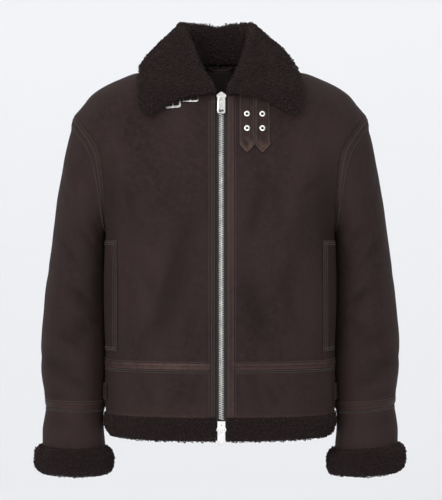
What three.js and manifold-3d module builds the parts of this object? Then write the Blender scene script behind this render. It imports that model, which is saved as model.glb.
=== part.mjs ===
// A shearling coat with a zip, filled out as if worn, with nobody in it.
// Millimetres, +Z up. The front faces -Y and +X is the wearer's left.
// The origin is the base of the neck, where the wearer's shoulders carry the coat.
import * as THREE from "three";
import { mergeVertices } from "three/addons/utils/BufferGeometryUtils.js";
import Module from "manifold-3d";

const wasm = await Module();
wasm.setup();

// Cloth
const seamGap = 0.3;
const bodyWall = 7;
const sleeveWall = 6;
const tapeWall = 1.4;
const lift = 0.45;

// Heights of the seams round the body, and of the bottom of the wool
const bandSeamZ = -526;
const fleeceSeamZ = -615;
const hemZ = -662;
const seamTapeWidth = 10.5;

// Zip
const zipX = 2.2;
const zipEdge = 10.4;
const teethWidth = 9.2;
const stripWidth = { right: 8.6, left: 12 };
const stripWall = 1.6;
const stripTopZ = -57;
const tapeTopZ = -60;
const tapeBottomZ = -655;
const tapeDepth = { from: -3, to: -4.5 };
const tapeParting = 2.2;
const chainDepth = { from: 1.9, to: -2.6 };

// Sliders: the height of the pull's hinge and its distance out from the skin
const topHingeZ = -58.7;
const bottomHingeZ = -633;
const hingeOut = 6.1;
const sliderCover = { top: 13.3, bottom: 15.3 };
const pullLength = 32;
const pullHalfWidth = 6.8;

// Pocket welts, by height and by the share of the way out to the side seam
const weltTopZ = -306;
const weltBottomZ = -503;
const weltInner = 0.685;
const weltOuter = 0.9;
const weltWall = 3;
const weltBow = 3;

// Throat straps, buckles and side tabs
const strapTopZ = -48;
const strapCornerZ = -141;
const strapPointZ = -154.5;
const strapWall = 2.4;
const straps = [
  { name: "a", fromX: 33.6, toX: 59.8 },
  { name: "b", fromX: 60.5, toX: 86.6 },
];
const eyeletRows = [-87.6, -113];
const eyeletRadius = 5.6;
const eyeletHole = 2;
const eyeletFoot = lift + 0.2;
const strapHole = 3.6;
const buckles = [
  { name: "a", x: -83, z: -67, tilt: -0.2 },
  { name: "b", x: -51.5, z: -57, tilt: 0 },
];
const buckleWidth = 29;
const buckleHeight = 22;
const buckleBar = 3.8;
const buckleCorner = 5;
const buckleThick = 2.8;
const buckleStand = 0.8;
const prongWidth = 2.4;
const prongThick = 1.6;
const loopHalfWidth = 21;
const loopY = 67.8;
const loopZ = 4;
const loopRise = 6;
const loopThick = 3;
const sideTabTopZ = -562;
const sideTabBottomZ = -591;
const sideTabPlace = 0.035;
const tabStand = 0.7;

// Shoulder line from the neck (0) to the sleeve (1), and how far down it has come
const shoulderLine = [
  { out: 0, down: 0 },
  { out: 0.2, down: 0.02 },
  { out: 0.4, down: 0.07 },
  { out: 0.57, down: 0.21 },
  { out: 0.73, down: 0.385 },
  { out: 0.84, down: 0.565 },
  { out: 0.92, down: 0.79 },
  { out: 1, down: 1 },
];

// Rows of the body from hem to shoulder. Each runs from the centre or neck out to the
// side seam or armhole, and is named by the height of that outer end. A fuller row is
// squarer across: 2 is an ellipse.
const frontRows = [
  { sideZ: -662, sideX: 194, sideY: 3, centreX: 0, centreY: -133, centreZ: -662, full: 2.4 },
  { sideZ: -640, sideX: 201, sideY: 3, centreX: 0, centreY: -135, centreZ: -640, full: 2.4 },
  { sideZ: -615, sideX: 205.5, sideY: 3, centreX: 0, centreY: -136.5, centreZ: -615, full: 2.4 },
  { sideZ: -560, sideX: 205.5, sideY: 3, centreX: 0, centreY: -137.5, centreZ: -560, full: 2.4 },
  { sideZ: -526, sideX: 204.5, sideY: 3, centreX: 0, centreY: -139, centreZ: -526, full: 2.4 },
  { sideZ: -440, sideX: 204.5, sideY: 3, centreX: 0, centreY: -141.5, centreZ: -440, full: 2.5 },
  { sideZ: -335, sideX: 205, sideY: 3, centreX: 0, centreY: -142.5, centreZ: -335, full: 2.85 },
  { sideZ: -294, sideX: 205, sideY: 0, centreX: 0, centreY: -142, centreZ: -294, full: 3.0 },
  { sideZ: -282, sideX: 205, sideY: -40, centreX: 0, centreY: -141.5, centreZ: -278, full: 2.5 },
  { sideZ: -262, sideX: 205, sideY: -63, centreX: 0, centreY: -140.5, centreZ: -250, full: 2.25 },
  { sideZ: -235, sideX: 205, sideY: -80, centreX: 0, centreY: -138, centreZ: -214, full: 2.1 },
  { sideZ: -205, sideX: 206, sideY: -88, centreX: 0, centreY: -134.5, centreZ: -176, full: 2.05 },
  { sideZ: -175, sideX: 208.5, sideY: -90, centreX: 0, centreY: -129.5, centreZ: -136, full: 2.0 },
  { sideZ: -148, sideX: 214, sideY: -85, centreX: 0, centreY: -122, centreZ: -94, full: 2.05 },
  { sideZ: -125, sideX: 226, sideY: -72, centreX: 0, centreY: -112, centreZ: -50, full: 2.15 },
  { sideZ: -107, sideX: 240, sideY: -54, centreX: 37.5, centreY: -97, centreZ: -37.5, full: 2.25 },
  { sideZ: -95, sideX: 250, sideY: -38, centreX: 61.4, centreY: -64.2, centreZ: -16.4, full: 2.35 },
  { sideZ: -86, sideX: 258, sideY: -20, centreX: 72.4, centreY: -29, centreZ: -3.3, full: 2.4 },
  { sideZ: -82, sideX: 262, sideY: 0, centreX: 75, centreY: 0, centreZ: 0, full: 2.4 },
];
const backRows = [
  { sideZ: -662, sideX: 194, sideY: 3, centreX: 0, centreY: 120, centreZ: -662, full: 2.4 },
  { sideZ: -640, sideX: 201, sideY: 3, centreX: 0, centreY: 122, centreZ: -640, full: 2.4 },
  { sideZ: -615, sideX: 205.5, sideY: 3, centreX: 0, centreY: 123, centreZ: -615, full: 2.4 },
  { sideZ: -560, sideX: 205.5, sideY: 3, centreX: 0, centreY: 124, centreZ: -560, full: 2.4 },
  { sideZ: -526, sideX: 204.5, sideY: 3, centreX: 0, centreY: 125, centreZ: -526, full: 2.4 },
  { sideZ: -440, sideX: 204.5, sideY: 3, centreX: 0, centreY: 127, centreZ: -440, full: 2.5 },
  { sideZ: -335, sideX: 205, sideY: 3, centreX: 0, centreY: 129.5, centreZ: -335, full: 2.85 },
  { sideZ: -294, sideX: 205, sideY: 0, centreX: 0, centreY: 130, centreZ: -294, full: 3.0 },
  { sideZ: -282, sideX: 205, sideY: 40, centreX: 0, centreY: 130, centreZ: -276, full: 2.5 },
  { sideZ: -262, sideX: 206.5, sideY: 62, centreX: 0, centreY: 129, centreZ: -245, full: 2.25 },
  { sideZ: -235, sideX: 209, sideY: 78, centreX: 0, centreY: 127.5, centreZ: -205, full: 2.1 },
  { sideZ: -205, sideX: 213, sideY: 86, centreX: 0, centreY: 123.5, centreZ: -160, full: 2.05 },
  { sideZ: -175, sideX: 219, sideY: 87, centreX: 0, centreY: 116.5, centreZ: -115, full: 2.0 },
  { sideZ: -148, sideX: 226, sideY: 83, centreX: 0, centreY: 106, centreZ: -70, full: 2.05 },
  { sideZ: -125, sideX: 236, sideY: 72, centreX: 0, centreY: 93, centreZ: -30, full: 2.15 },
  { sideZ: -107, sideX: 246, sideY: 55, centreX: 0, centreY: 76, centreZ: 14, full: 2.25 },
  { sideZ: -95, sideX: 253, sideY: 38, centreX: 43, centreY: 62, centreZ: 9.4, full: 2.35 },
  { sideZ: -86, sideX: 259, sideY: 20, centreX: 68, centreY: 32, centreZ: 2.5, full: 2.4 },
  { sideZ: -82, sideX: 262, sideY: 0, centreX: 75, centreY: 0, centreZ: 0, full: 2.4 },
];

// Heights at which the panels and the sleeve meet along the armhole, shoulder first
const armholeHeights = [-82, -86, -95, -107, -125, -148, -175, -205, -235, -262, -282, -294];
const panelHeights = [-526, -480, -430, -380, -335];
const bandHeights = [-615, -585, -555, -526];
const shoulderZ = armholeHeights[0];
const armpitZ = armholeHeights[armholeHeights.length - 1];

// Rings of the sleeve by their distance along it: outermost point, innermost point, half
// depth front to back, and how far back or forward the ring has moved
const sleeveRings = [
  { along: 0, outX: 262, outZ: -82, inX: 206, inZ: -294, deep: 90, midY: 0 },
  { along: 21, outX: 271, outZ: -118, inX: 207.5, inZ: -299, deep: 88, midY: 2 },
  { along: 44, outX: 279, outZ: -155, inX: 208, inZ: -306, deep: 86, midY: 5 },
  { along: 70, outX: 286.5, outZ: -195, inX: 207.6, inZ: -318, deep: 84, midY: 9 },
  { along: 102, outX: 294.5, outZ: -238, inX: 207.2, inZ: -338, deep: 82, midY: 15 },
  { along: 148, outX: 303, outZ: -300, inX: 206.8, inZ: -368, deep: 80, midY: 22 },
  { along: 203, outX: 312, outZ: -368, inX: 206.6, inZ: -410, deep: 78, midY: 26 },
  { along: 257, outX: 319.5, outZ: -430, inX: 206.4, inZ: -455, deep: 75, midY: 27 },
  { along: 314, outX: 324, outZ: -495, inX: 206.4, inZ: -505, deep: 71, midY: 25 },
  { along: 352, outX: 323.5, outZ: -535, inX: 207.5, inZ: -540, deep: 68, midY: 22 },
  { along: 381, outX: 320.5, outZ: -565, inX: 209.6, inZ: -568, deep: 64, midY: 19 },
  { along: 404, outX: 317, outZ: -590, inX: 209.6, inZ: -590, deep: 61, midY: 17 },
  { along: 415, outX: 314.5, outZ: -601, inX: 208.6, inZ: -601, deep: 60, midY: 16 },
  { along: 439, outX: 317.5, outZ: -625, inX: 211, inZ: -625, deep: 60, midY: 15 },
  { along: 464, outX: 320.5, outZ: -650, inX: 210, inZ: -650, deep: 61, midY: 14 },
  { along: 492, outX: 320, outZ: -678, inX: 207.5, inZ: -678, deep: 61, midY: 13 },
  { along: 540, outX: 320, outZ: -726, inX: 206.5, inZ: -726, deep: 61, midY: 12 },
];
const cuffSeam = 415;
const cuffEdge = 492;
const armholeFade = 60;
const sleeveSteps = [0, 8, 20, 38, 60, 90, 125, 165, 210, 255, 300, 345, 382, 409, 415];
const cuffSteps = [415, 421, 440, 465, 492];

// Wool edges: how far the roll stands out of the skin and into the hollow
const hemRoll = [
  { down: 0, out: -1, inside: -13 },
  { down: 7, out: 4, inside: -16 },
  { down: 19, out: 6, inside: -17 },
  { down: 31, out: 4.5, inside: -16 },
  { down: 38, out: 1, inside: -13 },
  { down: 42, out: -4.5, inside: -9 },
];
const cuffRoll = [
  { down: 0.4, out: 5, inside: -14 },
  { down: 5, out: 11, inside: -17 },
  { down: 14, out: 14.5, inside: -18.5 },
  { down: 30, out: 15, inside: -18.5 },
  { down: 40, out: 12.5, inside: -16.5 },
  { down: 45, out: 7, inside: -13 },
  { down: 48, out: 0, inside: -9 },
];

// Collar stations from the centre back (0) to the zip (1): neck seam, roll line on top,
// and outer edge of the leaf, with the way that the roll faces in degrees from +X, how far
// straps and buckles under the leaf lift it, and how far the middle of the leaf arches up
const collarStations = [
  { at: 0, neckX: 0, neckY: 74, neckZ: 17, rollX: 0, rollY: 88, rollZ: 81.5,
    edgeX: 0, edgeY: 112, edgeZ: -16, faces: 90, over: 0, round: 9, arch: 2 },
  { at: 0.16, neckX: 27, neckY: 70, neckZ: 16, rollX: 30, rollY: 83, rollZ: 87,
    edgeX: 45, edgeY: 108, edgeZ: -15, faces: 74, over: 0, round: 9, arch: 2 },
  { at: 0.32, neckX: 54, neckY: 51, neckZ: 11, rollX: 55, rollY: 62, rollZ: 86,
    edgeX: 92, edgeY: 91, edgeZ: -12, faces: 48, over: 0, round: 9, arch: 2 },
  { at: 0.46, neckX: 71, neckY: 24, neckZ: 6, rollX: 66, rollY: 30, rollZ: 82.5,
    edgeX: 130, edgeY: 52, edgeZ: 1, faces: 18, over: 0, round: 9, arch: 2 },
  { at: 0.56, neckX: 74, neckY: -6, neckZ: 3, rollX: 67, rollY: 2, rollZ: 76.5,
    edgeX: 142, edgeY: 5, edgeZ: 9, faces: 0, over: 0, round: 9, arch: 2 },
  { at: 0.66, neckX: 70, neckY: -34, neckZ: -3, rollX: 63, rollY: -30, rollZ: 60,
    edgeX: 142, edgeY: -43, edgeZ: -9, faces: -20, over: 0.5, round: 9, arch: 2 },
  { at: 0.75, neckX: 61, neckY: -63, neckZ: -14, rollX: 54, rollY: -60, rollZ: 35,
    edgeX: 142, edgeY: -78, edgeZ: -31, faces: -38, over: 2, round: 8.5, arch: 2 },
  { at: 0.83, neckX: 46, neckY: -88, neckZ: -28, rollX: 44, rollY: -82, rollZ: 9,
    edgeX: 142, edgeY: -100, edgeZ: -53, faces: -52, over: 4, round: 8, arch: 3 },
  { at: 0.9, neckX: 31, neckY: -102, neckZ: -39, rollX: 31, rollY: -103, rollZ: -18,
    edgeX: 140.5, edgeY: -109, edgeZ: -71, faces: -64, over: 4.5, round: 7, arch: 5 },
  { at: 0.96, neckX: 18, neckY: -110.5, neckZ: -45, rollX: 19, rollY: -119, rollZ: -35,
    edgeX: 135.5, edgeY: -114, edgeZ: -84, faces: -74, over: 4.5, round: 6, arch: 7 },
  { at: 1, neckX: 11, neckY: -114, neckZ: -46, rollX: 13, rollY: -124, rollZ: -44,
    edgeX: 125.5, edgeY: -118, edgeZ: -90.5, faces: -78, over: 4, round: 5, arch: 8.5 },
];
const collarHalf = 6;
const leafStart = 0.5;
const leafFullness = 1.8;
const leafClear = 10.6;
const leftNarrow = 0.075;
const leafFade = 0.15;
const collarLean = 5;
const collarSegments = 30;
const collarRows = 13;

// Creases of the body cloth: a soft trough between two ends on the front
const frontCreases = [
  { fromX: -46, fromZ: -310, toX: -112, toZ: -500, width: 22, depth: 3.5 },
  { fromX: 40, fromZ: -330, toX: 84, toZ: -480, width: 20, depth: 2 },
  { fromX: 175, fromZ: -215, toX: 120, toZ: -330, width: 20, depth: 2.5 },
  { fromX: -172, fromZ: -225, toX: -128, toZ: -320, width: 20, depth: 2 },
];
const backCreases = [
  { fromX: -150, fromZ: -200, toX: -60, toZ: -330, width: 26, depth: 4 },
  { fromX: 156, fromZ: -215, toX: 70, toZ: -350, width: 26, depth: 4 },
  { fromX: -30, fromZ: -380, toX: 60, toZ: -500, width: 26, depth: 3 },
];
// Creases round the sleeve: distance along it, the angle from the outer side towards the
// front where it is deepest, its spread in degrees, its slant, its width and its depth
const sleeveCreases = [
  { along: 235, angle: 150, spread: 80, slant: 18, width: 16, depth: 4 },
  { along: 275, angle: 130, spread: 70, slant: -14, width: 15, depth: 3.5 },
  { along: 120, angle: 160, spread: 60, slant: 22, width: 18, depth: 3.5 },
  { along: 345, angle: 60, spread: 70, slant: 12, width: 15, depth: 2.5 },
];

const colours = {
  skin: 0x3a2f2e,
  tape: 0x4b3733,
  fleece: 0x2c2222,
  zipTape: 0x2b2423,
  metal: 0xb9b5b0,
};

function material(colour, roughness, metalness = 0) {
  return new THREE.MeshStandardMaterial({ color: colour, roughness, metalness });
}
const skin = material(colours.skin, 0.85);
const seamTape = material(colours.tape, 0.8);
const fleece = material(colours.fleece, 1);
const wovenTape = material(colours.zipTape, 0.9);
const metal = material(colours.metal, 0.3, 1);

const coat = new THREE.Group();

function addNode(name, geometry, look) {
  const mesh = new THREE.Mesh(geometry, look);
  mesh.name = name;
  coat.add(mesh);
  return mesh;
}

// Reading tables

// A smooth curve through one column of a table, with no overshoot between its rows
function curveThrough(rows, key, column) {
  const at = rows.map((row) => row[key]);
  const values = rows.map((row) => row[column]);
  const last = at.length - 1;
  const rise = (i) => (values[i + 1] - values[i]) / (at[i + 1] - at[i]);
  const slopes = values.map((_, i) => {
    if (i === 0) return rise(0);
    if (i === last) return rise(last - 1);
    const before = rise(i - 1);
    const after = rise(i);
    return before * after <= 0 ? 0 : (2 * before * after) / (before + after);
  });
  return (where) => {
    const x = Math.min(Math.max(where, at[0]), at[last]);
    let i = 0;
    while (i < last - 1 && x > at[i + 1]) i++;
    const span = at[i + 1] - at[i];
    const t = (x - at[i]) / span;
    return (
      values[i] * (1 + 2 * t) * (1 - t) ** 2 +
      slopes[i] * span * t * (1 - t) ** 2 +
      values[i + 1] * t * t * (3 - 2 * t) +
      slopes[i + 1] * span * t * t * (t - 1)
    );
  };
}

function curvesOf(rows, key) {
  const curves = {};
  for (const column of Object.keys(rows[0])) {
    if (column !== key) curves[column] = curveThrough(rows, key, column);
  }
  return curves;
}

const shoulderDrop = curveThrough(shoulderLine, "out", "down");
const torso = {
  front: { rows: curvesOf(frontRows, "sideZ"), facing: -1, creases: frontCreases },
  back: { rows: curvesOf(backRows, "sideZ"), facing: 1, creases: backCreases },
};
const sleeve = curvesOf(sleeveRings, "along");
const collar = curvesOf(collarStations, "at");

// Surfaces

function creaseDepth(creases, x, z) {
  let depth = 0;
  for (const crease of creases) {
    const runX = crease.toX - crease.fromX;
    const runZ = crease.toZ - crease.fromZ;
    const length = Math.hypot(runX, runZ);
    const along = ((x - crease.fromX) * runX + (z - crease.fromZ) * runZ) / length ** 2;
    const beside = ((x - crease.fromX) * runZ - (z - crease.fromZ) * runX) / length;
    if (along <= 0 || along >= 1) continue;
    depth += crease.depth * Math.sin(Math.PI * along) * Math.exp(-((beside / crease.width) ** 2));
  }
  return depth;
}

// A point of the skin: half "front" or "back", side -1 or 1, out 0 (centre) to 1 (side)
function bareTorso(half, side, out, height) {
  const { rows, facing, creases } = torso[half];
  const across = Math.sin((out * Math.PI) / 2);
  const full = rows.full(height);
  const depth = (1 - across ** full) ** (1 / full);
  const centreZ = rows.centreZ(height);
  const x = rows.centreX(height) + (rows.sideX(height) - rows.centreX(height)) * across;
  const y = rows.sideY(height) + (rows.centreY(height) - rows.sideY(height)) * depth;
  const z = centreZ + (height - centreZ) * shoulderDrop(across);
  const trough = creaseDepth(creases, side * x, z) * depth;
  return new THREE.Vector3(side * x, y - facing * trough, z);
}

function torsoNormal(half, side, out, height) {
  const step = 0.004;
  const outA = Math.max(out - step, 0);
  const outB = Math.min(out + step, 1);
  const lowZ = Math.max(height - 2, hemZ);
  const highZ = Math.min(height + 2, shoulderZ);
  const acrossWay = bareTorso(half, side, outB, height).sub(bareTorso(half, side, outA, height));
  const upWay = bareTorso(half, side, out, highZ).sub(bareTorso(half, side, out, lowZ));
  const normal = acrossWay.cross(upWay).normalize();
  normal.multiplyScalar(half === "front" ? side : -side);
  const fromShoulder = Math.min((shoulderZ - height) / 8, 1);
  normal.y *= fromShoulder;
  if (Math.abs(bareTorso(half, side, out, height).x) < 0.01) normal.x = 0;
  if (out > 0.999 && height <= armpitZ) normal.y = 0;
  return normal.normalize();
}

function torsoPoint(half, side, out, height, moved) {
  const point = bareTorso(half, side, out, height);
  return point.addScaledVector(torsoNormal(half, side, out, height), moved);
}

// Where a place seen from the front or back, given by x and z, lies on the panel
function rowAt(half, x, z) {
  const { rows } = torso[half];
  const acrossAt = (height) => {
    const centreX = rows.centreX(height);
    const across = (Math.abs(x) - centreX) / (rows.sideX(height) - centreX);
    return Math.min(Math.max(across, 0), 0.9999);
  };
  const heightZ = (height) => {
    const centreZ = rows.centreZ(height);
    return centreZ + (height - centreZ) * shoulderDrop(acrossAt(height));
  };
  let low = hemZ;
  let high = shoulderZ;
  for (let i = 0; i < 40; i++) {
    const middle = (low + high) / 2;
    if (heightZ(middle) < z) low = middle;
    else high = middle;
  }
  return { out: (Math.asin(acrossAt(low)) * 2) / Math.PI, height: low };
}

function onFront(x, z, moved) {
  const { out, height } = rowAt("front", x, z);
  return torsoPoint("front", x < 0 ? -1 : 1, out, height, moved);
}

// The angle round a sleeve ring of each armhole height: 0 outside, 180 degrees at the armpit
const ringMiddle = (shoulderZ + armpitZ) / 2;
const ringHalf = (shoulderZ - armpitZ) / 2;
const sleeveColumns = [
  ...armholeHeights.map((height) => ({ half: "front", height })),
  ...armholeHeights.slice(1, -1).reverse().map((height) => ({ half: "back", height })),
].map((column) => {
  const angle = Math.acos((column.height - ringMiddle) / ringHalf);
  return { ...column, angle: column.half === "front" ? angle : -angle };
});

function sleeveCreaseDepth(along, angle) {
  let depth = 0;
  const degrees = (angle * 180) / Math.PI;
  for (const crease of sleeveCreases) {
    const turned = ((degrees - crease.angle + 540) % 360) - 180;
    if (Math.abs(turned) >= crease.spread) continue;
    const beside = along - crease.along - (crease.slant * turned) / crease.spread;
    const fade = Math.cos((turned / crease.spread) * (Math.PI / 2)) ** 2;
    depth += crease.depth * fade * Math.exp(-((beside / crease.width) ** 2));
  }
  return depth;
}

function bareSleeve(side, column, along) {
  const centreX = (sleeve.outX(along) + sleeve.inX(along)) / 2;
  const centreZ = (sleeve.outZ(along) + sleeve.inZ(along)) / 2;
  const point = new THREE.Vector3(
    centreX + ((sleeve.outX(along) - sleeve.inX(along)) / 2) * Math.cos(column.angle),
    sleeve.midY(along) - sleeve.deep(along) * Math.sin(column.angle),
    centreZ + ((sleeve.outZ(along) - sleeve.inZ(along)) / 2) * Math.cos(column.angle),
  );
  const fade = Math.max(1 - along / armholeFade, 0) ** 2;
  if (fade > 0) {
    const edge = bareTorso(column.half, 1, 1, column.height);
    const ring = bareSleeveStart(column);
    point.addScaledVector(edge.sub(ring), fade);
  }
  point.x *= side;
  return point;
}

function bareSleeveStart(column) {
  const first = sleeveRings[0];
  return new THREE.Vector3(
    (first.outX + first.inX) / 2 + ((first.outX - first.inX) / 2) * Math.cos(column.angle),
    -first.deep * Math.sin(column.angle),
    (first.outZ + first.inZ) / 2 + ((first.outZ - first.inZ) / 2) * Math.cos(column.angle),
  );
}

function sleeveNormal(side, index, along) {
  const count = sleeveColumns.length;
  const next = sleeveColumns[(index + 1) % count];
  const before = sleeveColumns[(index + count - 1) % count];
  const around = bareSleeve(side, next, along).sub(bareSleeve(side, before, along));
  const low = Math.max(along - 3, 0);
  const downWay = bareSleeve(side, sleeveColumns[index], along + 3);
  downWay.sub(bareSleeve(side, sleeveColumns[index], low));
  return around.cross(downWay).multiplyScalar(side).normalize();
}

function sleevePoint(side, index, along, moved) {
  const column = sleeveColumns[index];
  if (along <= seamGap) {
    const point = bareTorso(column.half, side, 1, column.height);
    const inward = new THREE.Vector3(0, -point.y, ringMiddle - point.z).normalize();
    const normal = torsoNormal(column.half, side, 1, column.height);
    return point.addScaledVector(inward, 1.5 * seamGap).addScaledVector(normal, moved);
  }
  const point = bareSleeve(side, column, along);
  const pressed = moved - sleeveCreaseDepth(along, column.angle);
  return point.addScaledVector(sleeveNormal(side, index, along), pressed);
}

// Walls

function spread(from, to, count) {
  return Array.from({ length: count + 1 }, (_, i) => from + ((to - from) * i) / count);
}

// A grid of places, each with an outer and an inner point
function sheetOf(columns, rows, placeAt) {
  const outer = [];
  const inner = [];
  const faces = [];
  for (const row of rows) {
    for (const column of columns) {
      const [outside, inside] = placeAt(column, row);
      outer.push(outside);
      inner.push(inside);
    }
  }
  const wide = columns.length;
  for (let j = 0; j + 1 < rows.length; j++) {
    for (let i = 0; i + 1 < wide; i++) {
      const a = j * wide + i;
      faces.push([a, a + 1, a + wide + 1], [a, a + wide + 1, a + wide]);
    }
  }
  return { outer, inner, faces };
}

function joinSheets(sheets) {
  const all = { outer: [], inner: [], faces: [] };
  for (const sheet of sheets) {
    const start = all.outer.length;
    const turned = sheet.turned;
    all.outer.push(...sheet.outer);
    all.inner.push(...sheet.inner);
    for (const [a, b, c] of sheet.faces) {
      all.faces.push(turned ? [a + start, c + start, b + start] : [a + start, b + start, c + start]);
    }
  }
  return all;
}

function rimRank(point) {
  return 1000 * point.z + 10 * Math.abs(point.y) + Math.abs(point.x);
}

// One closed body from a sheet: outer face, inner face, and a rim along its open edges
function wallOf(sheet) {
  const known = new Map();
  const kept = [];
  const renamed = sheet.outer.map((point, i) => {
    const inside = sheet.inner[i];
    const key = [...point.toArray(), ...inside.toArray()].map((v) => Math.round(v * 500)).join();
    if (!known.has(key)) {
      known.set(key, kept.length);
      kept.push(i);
    }
    return known.get(key);
  });
  const count = kept.length;
  const points = [...kept.map((i) => sheet.outer[i]), ...kept.map((i) => sheet.inner[i])];
  const faces = sheet.faces.map((face) => face.map((i) => renamed[i]));
  const solid = faces.filter(([a, b, c]) => a !== b && b !== c && c !== a);
  const edges = new Set();
  for (const [a, b, c] of solid) {
    edges.add(`${a},${b}`).add(`${b},${c}`).add(`${c},${a}`);
  }
  const triangles = [];
  for (const [a, b, c] of solid) {
    triangles.push([a, b, c], [a + count, c + count, b + count]);
    for (const [from, to] of [[a, b], [b, c], [c, a]]) {
      if (edges.has(`${to},${from}`)) continue;
      // Rims that meet at a seam are split the same way, from their higher end
      const rim = rimRank(points[from]) > rimRank(points[to])
        ? [[to, from, to + count], [from, from + count, to + count]]
        : [[to, from, from + count], [to, from + count, to + count]];
      triangles.push(...rim);
    }
  }
  return closedGeometry(points, triangles);
}

function closedGeometry(points, triangles) {
  let volume = 0;
  for (const [a, b, c] of triangles) {
    volume += points[a].dot(points[b].clone().cross(points[c]));
  }
  const order = triangles.map(([a, b, c]) => (volume < 0 ? [a, c, b] : [a, b, c]));
  const geometry = new THREE.BufferGeometry();
  const flat = points.flatMap((point) => point.toArray());
  geometry.setAttribute("position", new THREE.Float32BufferAttribute(flat, 3));
  geometry.setIndex(order.flat());
  geometry.computeVertexNormals();
  return geometry;
}

// Joining and cutting

function solidOf(geometry) {
  const bare = geometry.clone();
  bare.deleteAttribute("normal");
  bare.deleteAttribute("uv");
  const merged = mergeVertices(bare, 1e-4);
  const mesh = new wasm.Mesh({
    numProp: 3,
    vertProperties: merged.attributes.position.array,
    triVerts: new Uint32Array(merged.index.array),
  });
  return new wasm.Manifold(mesh);
}

function geometryOf(solid) {
  const mesh = solid.getMesh();
  const geometry = new THREE.BufferGeometry();
  const positions = new THREE.Float32BufferAttribute(mesh.vertProperties, mesh.numProp);
  geometry.setAttribute("position", positions);
  geometry.setIndex([...mesh.triVerts]);
  return geometry;
}

function joined(geometries) {
  const [first, ...others] = geometries.map(solidOf);
  return geometryOf(others.reduce((whole, solid) => whole.add(solid), first));
}

function cut(geometry, tools) {
  const whole = solidOf(geometry);
  return geometryOf(tools.map(solidOf).reduce((left, tool) => left.subtract(tool), whole));
}

// Body panels

const sides = [[-1, "right"], [1, "left"]];
const noStrip = { right: 0, left: 0 };

// How far across a row the front panel starts, beside the zip and any strip there
function outOfZipEdge(half, side, height, offZip) {
  if (half === "back") return 0;
  const { rows } = torso.front;
  const edge = side * zipX + zipEdge + offZip;
  const across = (edge - rows.centreX(height)) / (rows.sideX(height) - rows.centreX(height));
  return (Math.asin(Math.min(Math.max(across, 0), 1)) * 2) / Math.PI;
}

const panelColumns = spread(0, 1, 12);

function torsoSheet(half, side, heights, outerAt, innerAt, offZip) {
  const toSeam = (seamGap / 2) * torso[half].facing;
  const sheet = sheetOf(panelColumns, heights, (column, height) => {
    const start = outOfZipEdge(half, side, height, offZip);
    const out = column === 1 ? 1 : start + (1 - start) * column;
    const atSideSeam = column === 1 && height <= armpitZ;
    const atShoulderSeam = height > shoulderZ - 0.01;
    const shift = new THREE.Vector3(0, atSideSeam || atShoulderSeam ? toSeam : 0, 0);
    return [
      torsoPoint(half, side, out, height, outerAt(height)).add(shift),
      torsoPoint(half, side, out, height, innerAt(height)).add(shift),
    ];
  });
  return { ...sheet, turned: side < 0 };
}

function torsoPieces(name, heights, outerAt, innerAt, look, offZip = noStrip) {
  for (const [side, label] of sides) {
    const sheet = torsoSheet("front", side, heights, outerAt, innerAt, offZip[label]);
    addNode(`${name}front_${label}`, wallOf(sheet), look);
  }
  const halves = [-1, 1].map((side) => torsoSheet("back", side, heights, outerAt, innerAt, 0));
  addNode(`${name}back`, wallOf(joinSheets(halves)), look);
}

// Heights with half a seam gap taken off at the lower and upper end
function between(heights, gapBelow, gapAbove) {
  const shortened = [...heights];
  shortened[0] += gapBelow ? seamGap / 2 : 0;
  shortened[shortened.length - 1] -= gapAbove ? seamGap / 2 : 0;
  return shortened;
}

const wallHeights = [...panelHeights, ...[...armholeHeights].reverse()];
torsoPieces("", between(wallHeights, true, false), () => 0, () => -bodyWall, skin);
torsoPieces("hem_band_", between(bandHeights, true, true), () => 0, () => -bodyWall, skin);

const hemRollOut = curveThrough(hemRoll, "down", "out");
const hemRollIn = curveThrough(hemRoll, "down", "inside");
const hemRollTop = fleeceSeamZ - seamGap / 2;
torsoPieces(
  "hem_fleece_",
  hemRoll.map((row) => hemRollTop - row.down),
  (height) => hemRollOut(hemRollTop - height),
  (height) => hemRollIn(hemRollTop - height),
  fleece,
);

const tapeHalf = seamTapeWidth / 2;
torsoPieces(
  "hem_tape_",
  [bandSeamZ - tapeHalf, bandSeamZ, bandSeamZ + tapeHalf],
  () => lift + tapeWall,
  () => lift,
  seamTape,
  { right: stripWidth.right + seamGap, left: stripWidth.left + seamGap },
);

// Sleeves and cuffs

const cuffRollOut = curveThrough(cuffRoll, "down", "out");
const cuffRollIn = curveThrough(cuffRoll, "down", "inside");
for (const [side, label, slant] of [[-1, "right", 2], [1, "left", 5]]) {
  // The cuff seam sits higher at the outer side than at the inner one
  const slanted = (index) => -slant * Math.cos(sleeveColumns[index].angle);
  const flat = (index, along) => along + slanted(index) * Math.min(along / cuffSeam, 1) ** 6;
  const slantedRing = (steps, outerAt, innerAt) =>
    sheetOf([...sleeveColumns.keys(), 0], steps, (index, along) => [
      sleevePoint(side, index, flat(index, along), outerAt(along)),
      sleevePoint(side, index, flat(index, along), innerAt(along)),
    ]);
  const upper = between(sleeveSteps.map((step) => -step).reverse(), true, false);
  const upperSteps = upper.map((step) => Math.abs(step)).reverse();
  addNode(`sleeve_${label}`, wallOf(slantedRing(upperSteps, () => 0, () => -sleeveWall)), skin);
  const cuff = slantedRing(between(cuffSteps, true, true), () => 0, () => -sleeveWall);
  addNode(`cuff_${label}`, wallOf(cuff), skin);
  const tape = slantedRing(
    [cuffSeam - tapeHalf, cuffSeam, cuffSeam + tapeHalf],
    () => lift + tapeWall,
    () => lift,
  );
  addNode(`cuff_tape_${label}`, wallOf(tape), seamTape);
  const roll = slantedRing(
    cuffRoll.map((row) => cuffEdge + row.down),
    (along) => cuffRollOut(along - cuffEdge),
    (along) => cuffRollIn(along - cuffEdge),
  );
  addNode(`cuff_fleece_${label}`, wallOf(roll), fleece);
}

// Collar: the stand rises from the neck seam, rolls over and falls as the leaf

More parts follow.
